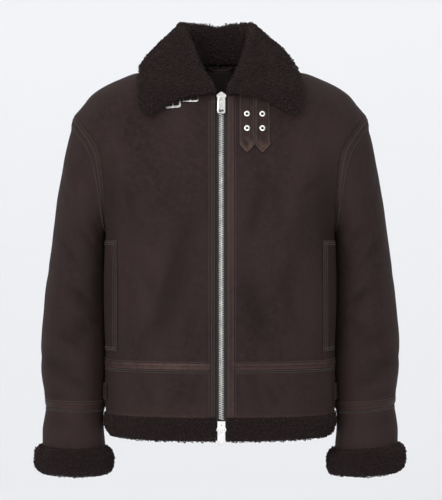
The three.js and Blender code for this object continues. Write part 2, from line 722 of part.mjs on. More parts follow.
function collarSection(at) {
  const read = (name) => collar[name](at);
  const point = (name) => new THREE.Vector3(read(`${name}X`), read(`${name}Y`), read(`${name}Z`));
  const facing = (read("faces") * Math.PI) / 180;
  const out = new THREE.Vector3(Math.cos(facing), Math.sin(facing), 0);
  const neck = point("neck");
  const roll = point("roll");
  const edge = point("edge");
  const radius = read("round");
  const down = new THREE.Vector3(0, 0, -1);
  const standSide = roll.clone().addScaledVector(out, -radius * 0.75).addScaledVector(down, radius);
  const leafSide = roll.clone().addScaledVector(out, radius * 0.9).addScaledVector(down, radius * 0.8);
  const standMiddle = neck.clone().lerp(standSide, 0.5);
  const leafMiddle = leafSide.clone().lerp(edge, 0.5);
  leafMiddle.addScaledVector(out, leafFullness).addScaledVector(down, -read("arch"));
  const route = [neck, standMiddle, standSide, roll, leafSide, leafMiddle, edge];
  return new THREE.CatmullRomCurve3(route, false, "centripetal");
}

// Places on the shoulders and upper chest, for the leaf to lie clear of
const bodyUnderCollar = [];
const leafLowestZ = -165;
const placesEachWay = 26;
for (const half of ["front", "back"]) {
  for (const height of spread(leafLowestZ, shoulderZ, placesEachWay)) {
    for (const out of spread(0, 1, placesEachWay)) {
      const place = bareTorso(half, 1, out, height);
      bodyUnderCollar.push({ place, normal: torsoNormal(half, 1, out, height) });
    }
  }
}

function pushedClear(point, clearance) {
  let nearest = bodyUnderCollar[0];
  let least = Infinity;
  for (const body of bodyUnderCollar) {
    const distance = body.place.distanceToSquared(point);
    if (distance < least) {
      least = distance;
      nearest = body;
    }
  }
  const away = point.clone().sub(nearest.place).dot(nearest.normal);
  if (away < clearance) point.addScaledVector(nearest.normal, clearance - away);
  return point;
}

// The wearer's left half of the collar lies a little closer to the neck than the right
function leftNarrowing(across, z) {
  const offNeck = Math.min(Math.max((across - 0.15) / 0.3, 0), 1);
  const high = Math.min(Math.max((z + 45) / 45, 0.25), 1);
  return 1 - leftNarrow * offNeck * high;
}

// The top of the roll leans a little towards the wearer's right
function leanAt(z) {
  return -collarLean * Math.min(Math.max((z - 35) / 45, 0), 1);
}

const knownCollarPoints = new Map();
function collarPoint(side, at, across) {
  const key = `${side > 0},${at.toFixed(5)},${across.toFixed(5)}`;
  if (!knownCollarPoints.has(key)) {
    const point = collarSection(at).getPoint(across);
    if (side > 0) point.x *= leftNarrowing(across, point.z);
    const leaf = Math.min(Math.max((across - leafStart) / leafFade, 0), 1);
    const clearance = leafClear + collar.over(at);
    if (leaf > 0) pushedClear(point, leaf * clearance);
    knownCollarPoints.set(key, point);
  }
  const point = knownCollarPoints.get(key).clone();
  point.x = side * point.x + zipX * at * at + leanAt(point.z);
  return point;
}

function collarPlace(place, across) {
  const side = place < 0 ? -1 : 1;
  const at = Math.abs(place);
  const step = 0.004;
  const low = Math.max(across - step, 0);
  const high = Math.min(across + step, 1);
  const alongSection = collarPoint(side, at, high).sub(collarPoint(side, at, low));
  const nearer = Math.max(at - step, 0);
  const further = Math.min(at + step, 1);
  const alongRoll = collarPoint(side, further, across).sub(collarPoint(side, nearer, across));
  const normal = alongSection.cross(alongRoll).normalize().multiplyScalar(side);
  const taper = Math.min(1, 0.35 + 8 * across, 0.4 + 9 * (1 - across), 0.5 + 14 * (1 - at));
  const half = collarHalf * taper;
  const middle = collarPoint(side, at, across);
  return [
    middle.clone().addScaledVector(normal, half),
    middle.clone().addScaledVector(normal, -half),
  ];
}
const collarPlaces = spread(-1, 1, collarSegments);
addNode("collar", wallOf(sheetOf(collarPlaces, spread(0, 1, collarRows), collarPlace)), fleece);

// Zip: strips beside it, woven tapes, a chain of teeth and two sliders

function stripSheet(acrossX, downZ, outerAt, innerAt) {
  return sheetOf(acrossX, downZ, (x, z) => [onFront(x, z, outerAt), onFront(x, z, innerAt)]);
}

const zipHeights = spread(fleeceSeamZ + 1, -86, 15);
for (const [side, label] of sides) {
  const edge = zipX + side * zipEdge;
  const strip = [...zipHeights, -70, stripTopZ];
  const across = spread(edge, edge + side * stripWidth[label], 2);
  const sheet = stripSheet(across, strip, lift + stripWall, lift);
  addNode(`front_edge_${label}`, wallOf(sheet), skin);
  const tapeHeights = [tapeBottomZ, -640, -632, ...zipHeights, -72, tapeTopZ];
  const tape = sheetOf([0, 1], tapeHeights, (place, z) => {
    const parted = z < bottomHingeZ + 2 ? tapeParting : seamGap;
    const x = place === 0 ? zipX + side * parted : edge - side * seamGap;
    return [onFront(x, z, tapeDepth.from), onFront(x, z, tapeDepth.to)];
  });
  addNode(`zip_tape_${label}`, wallOf(tape), wovenTape);
}
const chainAcross = [zipX - teethWidth / 2, zipX + teethWidth / 2];
const chainHeights = [
  bottomHingeZ + sliderCover.bottom,
  ...zipHeights.slice(1),
  topHingeZ - sliderCover.top,
];
const chain = stripSheet(chainAcross, chainHeights, chainDepth.from, chainDepth.to);
addNode("zip_chain", wallOf(chain), metal);

// A place on the front with its own axes: x across, z up along the cloth, -y straight out
function seatOnFront(x, z, turn = 0) {
  const seat = new THREE.Group();
  const above = onFront(x, z + 4, 0);
  const below = onFront(x, z - 4, 0);
  const aside = onFront(x + 4, z, 0).sub(onFront(x - 4, z, 0));
  seat.position.copy(onFront(x, z, 0));
  const up = above.sub(below).normalize();
  const out = aside.cross(up).normalize();
  const across = up.clone().cross(out).negate();
  const axes = new THREE.Matrix4().makeBasis(across, out.clone().negate(), up);
  seat.quaternion.setFromRotationMatrix(axes);
  seat.rotateY(turn);
  coat.add(seat);
  return seat;
}

function outline(points) {
  const corners = points.map(([x, z]) => new THREE.Vector2(x, z));
  return new THREE.Shape(THREE.ShapeUtils.isClockWise(corners) ? corners.reverse() : corners);
}

// A flat plate from its outline across and up, between two distances out from the skin
function plate(shape, { from, to }) {
  const geometry = new THREE.ExtrudeGeometry(shape, { depth: to - from, bevelEnabled: false });
  return geometry.rotateX(Math.PI / 2).translate(0, -from, 0);
}

function mirrored(points) {
  return [...points, ...[...points].reverse().map(([x, z]) => [-x, z])];
}

const sliderSide = [[1.2, 9.7], [8.4, 3.6], [8.2, 0.5], [6.7, -3], [6.7, -13]];
const sliderBackSide = [[1.2, 8.6], [6.6, 3.6], [6.6, -13]];
const sliderPost = [[-1.5, 3.5], [1.5, 3.5], [1.5, 8.4], [-1.5, 8.4]];
const archProfile = [
  [-7.8, 4.4], [-7.8, 6.4], [-6.2, 9.2], [5.4, 9.2], [7.2, 6.4], [7.2, 4.4],
  [4.8, 4.4], [4.4, 6.2], [3, 7.7], [-3, 7.7], [-4.6, 6.2], [-4.6, 4.4],
];
const archHalfWidth = 1.2;
const sliderFront = { from: 2.2, to: 4.6 };
const sliderBack = { from: -8.8, to: -6.4 };
const postDepth = { from: -7, to: 3 };

function sliderGeometry(tipUp) {
  const turned = (points) => points.map(([x, z]) => [x, tipUp * z]);
  const arch = new THREE.ExtrudeGeometry(outline(archProfile), {
    depth: 2 * archHalfWidth,
    bevelEnabled: false,
  });
  const upOutAcross = new THREE.Matrix4().makeBasis(
    new THREE.Vector3(0, 0, 1),
    new THREE.Vector3(0, -1, 0),
    new THREE.Vector3(1, 0, 0),
  );
  arch.applyMatrix4(upOutAcross).translate(-archHalfWidth, 0, 0);
  return joined([
    plate(outline(turned(mirrored(sliderSide))), sliderFront),
    plate(outline(turned(mirrored(sliderBackSide))), sliderBack),
    plate(outline(turned(sliderPost)), postDepth),
    arch,
  ]);
}

function pullGeometry() {
  const half = pullHalfWidth;
  const shape = outline(mirrored([
    [4.2, 1], [half, -3.5], [half, 1.4 - pullLength], [half - 1.4, -pullLength],
  ]));
  const eye = [[-1.9, -1], [1.9, -1], [1.9, -9.8], [-1.9, -9.8]];
  const window = [[-4.2, 7 - pullLength], [4.2, 7 - pullLength], [4.2, 2.2 - pullLength],
    [-4.2, 2.2 - pullLength]];
  shape.holes.push(outline(eye), outline(window));
  return plate(shape, { from: hingeOut - 1, to: hingeOut + 1 });
}

for (const [label, hingeZ, tipUp] of [["top", topHingeZ, 1], ["bottom", bottomHingeZ, -1]]) {
  const seat = seatOnFront(zipX, hingeZ);
  const slider = addNode(`slider_${label}`, sliderGeometry(tipUp), metal);
  const pull = addNode(`pull_${label}`, pullGeometry(), metal);
  seat.add(slider, pull);
}

// Pocket welts stand on the side of each front and close at both ends

const weltHeights = spread(weltBottomZ, weltTopZ, 8);
for (const [side, label] of sides) {
  const sheet = sheetOf(spread(weltInner, weltOuter, 4), weltHeights, (out, height) => {
    const along = (height - weltBottomZ) / (weltTopZ - weltBottomZ);
    const across = (out - weltInner) / (weltOuter - weltInner);
    const bow = weltWall + weltBow * Math.sin(Math.PI * along) * across;
    return [
      torsoPoint("front", side, out, height, bow),
      torsoPoint("front", side, out, height, bow - weltWall + lift),
    ];
  });
  addNode(`pocket_welt_${label}`, wallOf({ ...sheet, turned: side < 0 }), skin);
}

// Throat straps with two eyelets each

const strapRows = [strapTopZ, -54, -62, -76, -100, -120, strapCornerZ];
for (const strap of straps) {
  const middle = (strap.fromX + strap.toX) / 2;
  const outerAt = lift + strapWall;
  const rows = [strapPointZ, ...[...strapRows].reverse()];
  const sheet = sheetOf(spread(strap.fromX, strap.toX, 4), rows, (x, z) => {
    const fromMiddle = Math.abs(x - middle) / (strap.toX - middle);
    const place = z === strapPointZ ? z + (strapCornerZ - z) * fromMiddle * 0.98 : z;
    return [onFront(x, place, outerAt), onFront(x, place, lift)];
  });
  const holes = eyeletRows.map((z) => {
    const hole = new THREE.CylinderGeometry(strapHole, strapHole, 12, 16);
    const seat = seatOnFront(middle, z);
    seat.updateMatrixWorld(true);
    return hole.applyMatrix4(seat.matrixWorld);
  });
  addNode(`throat_strap_${strap.name}`, cut(wallOf(sheet), holes), skin);
  const top = outerAt + 2 * seamGap;
  const barrel = strapHole - seamGap;
  const profile = [
    [eyeletHole, eyeletFoot], [barrel, eyeletFoot], [barrel, top], [eyeletRadius, top],
    [eyeletRadius - 0.5, top + 1.1], [eyeletHole + 1.4, top + 1.5], [eyeletHole, top + 0.6],
    [eyeletHole, eyeletFoot],
  ].map(([radius, out]) => new THREE.Vector2(radius, out));
  for (const [i, z] of eyeletRows.entries()) {
    const ring = new THREE.LatheGeometry(profile, 12).rotateX(Math.PI);
    const eyelet = addNode(`eyelet_${strap.name}${i + 1}`, ring, metal);
    seatOnFront(middle, z).add(eyelet);
  }
}

// Throat buckles: a frame with its prong, held between the leaf and the front

function roundedBox(width, height, corner) {
  const x = width / 2;
  const z = height / 2;
  const shape = new THREE.Shape();
  shape.moveTo(corner - x, -z);
  shape.lineTo(x - corner, -z);
  shape.quadraticCurveTo(x, -z, x, corner - z);
  shape.lineTo(x, z - corner);
  shape.quadraticCurveTo(x, z, x - corner, z);
  shape.lineTo(corner - x, z);
  shape.quadraticCurveTo(-x, z, -x, z - corner);
  shape.lineTo(-x, corner - z);
  shape.quadraticCurveTo(-x, -z, corner - x, -z);
  return shape;
}

for (const buckle of buckles) {
  const frameShape = roundedBox(buckleWidth, buckleHeight, buckleCorner);
  const holeSize = [buckleWidth - 2 * buckleBar, buckleHeight - 2 * buckleBar];
  frameShape.holes.push(roundedBox(...holeSize, buckleCorner / 2));
  const frame = new THREE.ExtrudeGeometry(frameShape, {
    depth: buckleThick,
    bevelEnabled: false,
    curveSegments: 4,
  });
  frame.rotateX(Math.PI / 2).translate(0, -buckleStand, 0);
  const prong = new THREE.BoxGeometry(prongWidth, prongThick, buckleHeight - buckleBar);
  prong.translate(0, -buckleStand - buckleThick - 0.6, 0);
  const seat = seatOnFront(buckle.x, buckle.z, buckle.tilt);
  seat.add(addNode(`throat_buckle_${buckle.name}`, joined([frame, prong]), metal));
}

// Hanger loop: a cord across the inside of the back neck, its ends in the collar seam

const loopCurve = new THREE.CatmullRomCurve3([
  new THREE.Vector3(-loopHalfWidth, loopY, loopZ + loopRise),
  new THREE.Vector3(-loopHalfWidth * 0.8, loopY - 2, loopZ + 1),
  new THREE.Vector3(0, loopY - 3, loopZ),
  new THREE.Vector3(loopHalfWidth * 0.8, loopY - 2, loopZ + 1),
  new THREE.Vector3(loopHalfWidth, loopY, loopZ + loopRise),
]);
const loopSection = new THREE.Shape().absarc(0, 0, loopThick / 2, 0, 2 * Math.PI);
const hangerLoop = new THREE.ExtrudeGeometry(loopSection, {
  steps: 12,
  curveSegments: 3,
  bevelEnabled: false,
  extrudePath: loopCurve,
});
addNode("hanger_loop", hangerLoop, skin);

// Side tabs: a short strap round each side seam of the hem band

for (const [side, label] of sides) {
  const places = [-4, -3, -2, -1, 0, 1, 2, 3, 4];
  const tabHeights = spread(sideTabBottomZ, sideTabTopZ, 2);
  const sheet = sheetOf(places, tabHeights, (place, height) => {
    const half = place < 0 ? "front" : "back";
    const out = 1 - sideTabPlace * Math.abs(place);
    const stand = tabStand * Math.cos((place / 4) * (Math.PI / 2)) + lift;
    return [
      torsoPoint(half, side, out, height, stand + strapWall),
      torsoPoint(half, side, out, height, stand),
    ];
  });
  addNode(`side_tab_${label}`, wallOf({ ...sheet, turned: side < 0 }), skin);
}

export default coat;
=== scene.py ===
import math

import bmesh
import bpy
import numpy as np
from mathutils import Matrix, Vector, kdtree, noise


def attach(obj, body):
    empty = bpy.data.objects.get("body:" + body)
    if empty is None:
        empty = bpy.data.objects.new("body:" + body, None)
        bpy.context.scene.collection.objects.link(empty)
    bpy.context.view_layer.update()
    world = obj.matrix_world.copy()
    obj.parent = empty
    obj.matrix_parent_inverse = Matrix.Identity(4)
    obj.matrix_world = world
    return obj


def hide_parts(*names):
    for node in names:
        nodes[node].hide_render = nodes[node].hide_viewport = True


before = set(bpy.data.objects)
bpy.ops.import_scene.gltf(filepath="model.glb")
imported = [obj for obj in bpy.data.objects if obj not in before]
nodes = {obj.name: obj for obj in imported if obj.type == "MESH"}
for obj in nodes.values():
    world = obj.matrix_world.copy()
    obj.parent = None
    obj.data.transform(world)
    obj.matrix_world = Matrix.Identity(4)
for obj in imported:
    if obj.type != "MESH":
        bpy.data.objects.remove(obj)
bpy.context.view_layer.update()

perMetre = 0.001

# Sizes in millimetres, +Z up, front facing -Y, +X the wearer's left, as in the frame
cloth = {
    "bodyWall": 7, "sleeveWall": 6, "lift": 0.45,
    "seamGap": 0.3, "bandSeamZ": -526, "fleeceSeamZ": -615, "hemZ": -662, "seamTape": 10.5,
}
zipSizes = {
    "x": 2.2, "edge": 10.4, "teethWidth": 9.2, "pitch": 3.9, "stripWall": 1.6,
    "stripRight": 8.6, "stripLeft": 12, "bottomHingeZ": -633, "chainFrom": -617,
    "chainTo": -73, "toothDeep": 3.6, "toothShare": 0.44, "toothRound": 0.35, "toothAside": 1.75,
    "toothOverlap": 1.1, "toothSunk": 0.3,
}


def table(columns, rows):
    return dict(zip(columns.split(), np.array(rows, float).T))


shoulderLine = table("out down", [
    (0, 0), (0.2, 0.02), (0.4, 0.07), (0.57, 0.21), (0.73, 0.385), (0.84, 0.565),
    (0.92, 0.79), (1, 1),
])
frontRows = table("sideZ sideX sideY centreX centreY centreZ full", [
    (-662, 194, 3, 0, -133, -662, 2.4), (-640, 201, 3, 0, -135, -640, 2.4),
    (-615, 205.5, 3, 0, -136.5, -615, 2.4), (-560, 205.5, 3, 0, -137.5, -560, 2.4),
    (-526, 204.5, 3, 0, -139, -526, 2.4), (-440, 204.5, 3, 0, -141.5, -440, 2.5),
    (-335, 205, 3, 0, -142.5, -335, 2.85), (-294, 205, 0, 0, -142, -294, 3),
    (-282, 205, -40, 0, -141.5, -278, 2.5), (-262, 205, -63, 0, -140.5, -250, 2.25),
    (-235, 205, -80, 0, -138, -214, 2.1), (-205, 206, -88, 0, -134.5, -176, 2.05),
    (-175, 208.5, -90, 0, -129.5, -136, 2), (-148, 214, -85, 0, -122, -94, 2.05),
    (-125, 226, -72, 0, -112, -50, 2.15), (-107, 240, -54, 37.5, -97, -37.5, 2.25),
    (-95, 250, -38, 61.4, -64.2, -16.4, 2.35), (-86, 258, -20, 72.4, -29, -3.3, 2.4),
    (-82, 262, 0, 75, 0, 0, 2.4),
])
backRows = table("sideZ sideX sideY centreX centreY centreZ full", [
    (-662, 194, 3, 0, 120, -662, 2.4), (-640, 201, 3, 0, 122, -640, 2.4),
    (-615, 205.5, 3, 0, 123, -615, 2.4), (-560, 205.5, 3, 0, 124, -560, 2.4),
    (-526, 204.5, 3, 0, 125, -526, 2.4), (-440, 204.5, 3, 0, 127, -440, 2.5),
    (-335, 205, 3, 0, 129.5, -335, 2.85), (-294, 205, 0, 0, 130, -294, 3),
    (-282, 205, 40, 0, 130, -276, 2.5), (-262, 206.5, 62, 0, 129, -245, 2.25),
    (-235, 209, 78, 0, 127.5, -205, 2.1), (-205, 213, 86, 0, 123.5, -160, 2.05),
    (-175, 219, 87, 0, 116.5, -115, 2), (-148, 226, 83, 0, 106, -70, 2.05),
    (-125, 236, 72, 0, 93, -30, 2.15), (-107, 246, 55, 0, 76, 14, 2.25),
    (-95, 253, 38, 43, 62, 9.4, 2.35), (-86, 259, 20, 68, 32, 2.5, 2.4),
    (-82, 262, 0, 75, 0, 0, 2.4),
])
sleeveRings = table("along outX outZ inX inZ deep midY", [
    (0, 262, -82, 206, -294, 90, 0), (21, 271, -118, 207.5, -299, 88, 2),
    (44, 279, -155, 208, -306, 86, 5), (70, 286.5, -195, 207.6, -318, 84, 9),
    (102, 294.5, -238, 207.2, -338, 82, 15), (148, 303, -300, 206.8, -368, 80, 22),
    (203, 312, -368, 206.6, -410, 78, 26), (257, 319.5, -430, 206.4, -455, 75, 27),
    (314, 324, -495, 206.4, -505, 71, 25), (352, 323.5, -535, 207.5, -540, 68, 22),
    (381, 320.5, -565, 209.6, -568, 64, 19), (404, 317, -590, 209.6, -590, 61, 17),
    (415, 314.5, -601, 208.6, -601, 60, 16), (439, 317.5, -625, 211, -625, 60, 15),
    (464, 320.5, -650, 210, -650, 61, 14), (492, 320, -678, 207.5, -678, 61, 13),
    (540, 320, -726, 206.5, -726, 61, 12),
])
cuffSeam, cuffEdge, armholeFade = 415, 492, 60
hemRoll = table("down out inside", [
    (0, -1, -13), (7, 4, -16), (19, 6, -17), (31, 4.5, -16), (38, 1, -13), (42, -4.5, -9),
])
cuffRoll = table("down out inside", [
    (0.4, 5, -14), (5, 11, -17), (14, 14.5, -18.5), (30, 15, -18.5),
    (40, 12.5, -16.5), (45, 7, -13), (48, 0, -9),
])
collarStations = table(
    "at neckX neckY neckZ rollX rollY rollZ edgeX edgeY edgeZ faces over round arch", [
        (0, 0, 74, 17, 0, 88, 81.5, 0, 112, -16, 90, 0, 9, 2),
        (0.16, 27, 70, 16, 30, 83, 87, 45, 108, -15, 74, 0, 9, 2),
        (0.32, 54, 51, 11, 55, 62, 86, 92, 91, -12, 48, 0, 9, 2),
        (0.46, 71, 24, 6, 66, 30, 82.5, 130, 52, 1, 18, 0, 9, 2),
        (0.56, 74, -6, 3, 67, 2, 76.5, 142, 5, 9, 0, 0, 9, 2),
        (0.66, 70, -34, -3, 63, -30, 60, 142, -43, -9, -20, 0.5, 9, 2),
        (0.75, 61, -63, -14, 54, -60, 35, 142, -78, -31, -38, 2, 8.5, 2),
        (0.83, 46, -88, -28, 44, -82, 9, 142, -100, -53, -52, 4, 8, 3),
        (0.9, 31, -102, -39, 31, -103, -18, 140.5, -109, -71, -64, 4.5, 7, 5),
        (0.96, 18, -110.5, -45, 19, -119, -35, 135.5, -114, -84, -74, 4.5, 6, 8),
        (1, 11, -114, -46, 13, -124, -44, 125.5, -118, -90.5, -78, 4, 5, 10),
    ],
)
collarSizes = {"half": 6, "leafStart": 0.5, "leafClear": 10.6, "leftNarrow": 0.075,
               "fullness": 1.8, "lean": 5, "segments": 90, "rows": 39}

# Soft troughs of the body cloth: ends, width and depth
creaseColumns = "fromX fromZ toX toZ width depth"
frontCreases = table(creaseColumns, [
    (-46, -310, -112, -500, 22, 3.5), (40, -330, 84, -480, 20, 2),
    (175, -215, 120, -330, 20, 2.5), (-172, -225, -128, -320, 20, 2),
])
backCreases = table(creaseColumns, [
    (-150, -200, -60, -330, 26, 4), (156, -215, 70, -350, 26, 4), (-30, -380, 60, -500, 26, 3),
])
sleeveCreases = table("along angle spread slant width depth", [
    (235, 150, 80, 18, 16, 4), (275, 130, 70, -14, 15, 3.5), (120, 160, 60, 22, 18, 3.5),
    (345, 60, 70, 12, 15, 2.5),
])
# Finer creases that lie over the form, in the same columns
fineFront = table(creaseColumns, [
    (-44, -235, -122, -500, 13, 2.3), (-12, -205, -34, -285, 9, 1.2),
    (78, -190, 48, -310, 12, 1.9), (46, -375, 84, -500, 11, 1.8),
    (-194, -150, -188, -330, 14, 2.0), (188, -130, 186, -400, 20, 2.6),
    (-30, -535, -62, -608, 8, 1.6), (50, -535, 72, -606, 8, 1.6),
    (-60, -205, -128, -262, 9, 0.9), (-92, -170, -72, -300, 13, 0.8),
    (-150, -330, -106, -420, 11, 0.9), (-30, -395, -74, -505, 10, 1.1),
    (-120, -440, -150, -520, 9, 0.9), (60, -180, 118, -250, 10, 1.1),
    (150, -300, 92, -420, 12, 1.3), (34, -360, 70, -520, 11, 1.2),
    (108, -360, 142, -500, 10, 1), (-44, -540, -96, -606, 8, 1.4),
    (62, -536, 108, -604, 8, 1.5), (130, -545, 92, -600, 7, 0.9),
    (-140, -540, -118, -602, 7, 1), (180, -190, 132, -240, 9, 1.5),
    (-182, -196, -140, -250, 9, 1.5), (22, -545, 44, -604, 6, 0.8),
])
fineBack = table(creaseColumns, [
    (-170, -170, -110, -300, 13, 1.8), (168, -176, 100, -290, 13, 1.8),
    (-120, -320, -20, -430, 15, 1.5), (120, -340, 30, -470, 14, 1.4),
    (-160, -420, -90, -520, 12, 1.2), (150, -430, 100, -520, 12, 1.2),
    (-60, -540, -20, -604, 8, 1.3), (70, -540, 30, -604, 8, 1.2),
    (-140, -540, -100, -602, 8, 1), (0, -120, 10, -300, 18, 1.2),
])
fineSleeve = table("along angle spread slant width depth", [
    (70, 40, 50, 20, 9, 1.2), (95, 120, 60, -18, 10, 1.8), (150, 70, 55, 24, 9, 1.3),
    (190, 30, 50, -22, 10, 1.3), (215, 110, 70, 14, 9, 1.8), (255, 160, 70, -12, 9, 2.2),
    (300, 90, 60, 20, 10, 1.6), (330, 20, 50, -12, 9, 1.3), (372, 100, 60, 10, 8, 1.5),
    (395, 40, 70, 7, 7, 1.3), (60, -60, 60, -20, 11, 1.4), (140, -110, 70, 22, 11, 2),
    (200, -70, 60, -16, 10, 1.6), (250, -120, 80, 12, 10, 2.4), (300, -60, 60, 20, 10, 1.6),
    (360, -100, 70, -12, 9, 1.6), (445, 60, 60, 8, 9, 1), (450, -90, 60, -8, 9, 1.1),
])


def curveThrough(data, key, column):
    at, values = data[key], data[column]
    rise = np.diff(values) / np.diff(at)
    before, after = rise[:-1], rise[1:]
    total = np.where(before * after > 0, before + after, 1)
    middle = np.where(before * after > 0, 2 * before * after / total, 0)
    slopes = np.concatenate([rise[:1], middle, rise[-1:]])

    def read(where):
        x = np.clip(where, at[0], at[-1])
        i = np.clip(np.searchsorted(at, x, side="right") - 1, 0, len(at) - 2)
        span = at[i + 1] - at[i]
        t = (x - at[i]) / span
        return (
            values[i] * (1 + 2 * t) * (1 - t) ** 2
            + slopes[i] * span * t * (1 - t) ** 2
            + values[i + 1] * t * t * (3 - 2 * t)
            + slopes[i + 1] * span * t * t * (t - 1)
        )

    return read


def curvesOf(data, key):
    return {column: curveThrough(data, key, column) for column in data if column != key}


def eachRow(data):
    return [dict(zip(data, values)) for values in zip(*data.values())]


def unit(vectors):
    length = np.linalg.norm(vectors, axis=-1, keepdims=True)
    return vectors / np.maximum(length, 1e-9)


def point(x, y, z):
    return np.stack(np.broadcast_arrays(x, y, z), axis=-1).astype(float)


shoulderDrop = curveThrough(shoulderLine, "out", "down")
torso = {
    "front": {"rows": curvesOf(frontRows, "sideZ"), "facing": -1, "creases": frontCreases,
              "fine": fineFront},
    "back": {"rows": curvesOf(backRows, "sideZ"), "facing": 1, "creases": backCreases,
             "fine": fineBack},
}
sleeve = curvesOf(sleeveRings, "along")
collar = curvesOf(collarStations, "at")
shoulderZ, armpitZ = -82, -294
ringMiddle, ringHalf = (shoulderZ + armpitZ) / 2, (shoulderZ - armpitZ) / 2


def creaseDepth(creases, x, z):
    depth = np.zeros(np.shape(x))
    for row in eachRow(creases):
        runX, runZ = row["toX"] - row["fromX"], row["toZ"] - row["fromZ"]
        length = math.hypot(runX, runZ)
        along = ((x - row["fromX"]) * runX + (z - row["fromZ"]) * runZ) / length ** 2
        beside = ((x - row["fromX"]) * runZ - (z - row["fromZ"]) * runX) / length
        inside = (along > 0) & (along < 1)
        wave = np.sin(np.pi * np.clip(along, 0, 1)) * np.exp(-((beside / row["width"]) ** 2))
        depth += np.where(inside, row["depth"] * wave, 0)
    return depth


def bareTorso(half, side, out, height):
    rows, facing = torso[half]["rows"], torso[half]["facing"]
    across = np.sin(out * np.pi / 2)
    full = rows["full"](height)
    depth = np.maximum(1 - across ** full, 0) ** (1 / full)
    centreZ = rows["centreZ"](height)
    centreX = rows["centreX"](height)
    sideY = rows["sideY"](height)
    x = centreX + (rows["sideX"](height) - centreX) * across
    y = sideY + (rows["centreY"](height) - sideY) * depth
    z = centreZ + (height - centreZ) * shoulderDrop(across)
    trough = creaseDepth(torso[half]["creases"], side * x, z) * depth
    return point(side * x, y - facing * trough, z)


def torsoNormal(half, side, out, height):
    step = 0.004
    across = bareTorso(half, side, np.minimum(out + step, 1), height)
    across = across - bareTorso(half, side, np.maximum(out - step, 0), height)
    upward = bareTorso(half, side, out, np.minimum(height + 2, shoulderZ))
    upward = upward - bareTorso(half, side, out, np.maximum(height - 2, cloth["hemZ"]))
    turned = np.asarray(side, float)[..., None] * (1 if half == "front" else -1)
    normal = unit(np.cross(across, upward)) * turned
    normal[..., 1] *= np.minimum((shoulderZ - height) / 8, 1)
    onCentre = np.abs(bareTorso(half, side, out, height)[..., 0]) < 0.01
    normal[..., 0] = np.where(onCentre, 0, normal[..., 0])
    onSeam = (out > 0.999) & (height <= armpitZ)
    normal[..., 1] = np.where(onSeam, 0, normal[..., 1])
    return unit(normal)


def smooth(low, high, value):
    t = np.clip((value - low) / (high - low), 0, 1)
    return t * t * (3 - 2 * t)


# Places where hard parts sit, and the cloth stays on its plain form: x and z from and to
quietPlaces = table("fromX toX fromZ toZ", [
    (-14, 20, -700, 20), (24, 92, -165, -40), (-104, -34, -92, -38),
])


def relief(places):
    flat = places.reshape(-1, 3)
    wave = np.array([
        1.5 * noise.noise(Vector(p) / 85) + 0.55 * noise.noise(Vector(p) / 30 + Vector((7, 3, 1)))
        for p in flat.tolist()
    ]).reshape(places.shape[:-1])
    x, y, z = places[..., 0], places[..., 1], places[..., 2]
    for row in eachRow(quietPlaces):
        beyondX = np.maximum(np.maximum(row["fromX"] - x, x - row["toX"]), 0)
        beyondZ = np.maximum(np.maximum(row["fromZ"] - z, z - row["toZ"]), 0)
        quiet = 1 - smooth(0, 26, np.hypot(beyondX, beyondZ))
        wave = wave * (1 - np.where(y < 0, quiet, 0))
    return wave


# How far the cloth of body and sleeve swells where they hang side by side
touching = {"body": 1.4, "band": 1.4, "sleeve": 1.6}


def torsoPoint(half, side, out, height, moved):
    bare = bareTorso(half, side, out, height)
    fine = creaseDepth(torso[half]["fine"], bare[..., 0], bare[..., 2])
    quiet = smooth(0, 12, shoulderZ - height)
    quiet = quiet * (1 - smooth(0.8, 0.93, out) * smooth(0, 40, armpitZ + 20 - height))
    beside = smooth(0.86, 0.97, out) * smooth(0, 14, armpitZ - height)
    beside = beside * smooth(0, 22, height - cloth["fleeceSeamZ"])
    swelling = touching["body"] + touching["band"] * np.exp(-(((height + 596) / 15) ** 2))
    raised = (relief(bare) - fine) * quiet + moved + swelling * beside
    return bare + torsoNormal(half, side, out, height) * raised[..., None]


def rowAt(half, x, z):
    rows = torso[half]["rows"]

    def acrossAt(height):
        centreX = rows["centreX"](height)
        return np.clip((np.abs(x) - centreX) / (rows["sideX"](height) - centreX), 0, 0.9999)

    low = np.full(np.shape(x), float(cloth["hemZ"]))
    high = np.full(np.shape(x), float(shoulderZ))
    for _ in range(40):
        middle = (low + high) / 2
        centreZ = rows["centreZ"](middle)
        below = centreZ + (middle - centreZ) * shoulderDrop(acrossAt(middle)) < z
        low, high = np.where(below, middle, low), np.where(below, high, middle)
    return np.arcsin(acrossAt(low)) * 2 / np.pi, low


def onFront(x, z, moved=0.0):
    x, z = np.broadcast_arrays(np.asarray(x, float), np.asarray(z, float))
    out, height = rowAt("front", x, z)
    return torsoPoint("front", np.where(x < 0, -1.0, 1.0), out, height, moved)


def sleeveTrough(rows, along, angle):
    depth = np.zeros(np.broadcast(along, angle).shape)
    degrees = np.degrees(angle)
    for row in eachRow(rows):
        turned = (degrees - row["angle"] + 540) % 360 - 180
        beside = along - row["along"] - row["slant"] * turned / row["spread"]
        fade = np.cos(np.clip(turned / row["spread"], -1, 1) * np.pi / 2) ** 2
        depth += row["depth"] * fade * np.exp(-((beside / row["width"]) ** 2))
    return depth


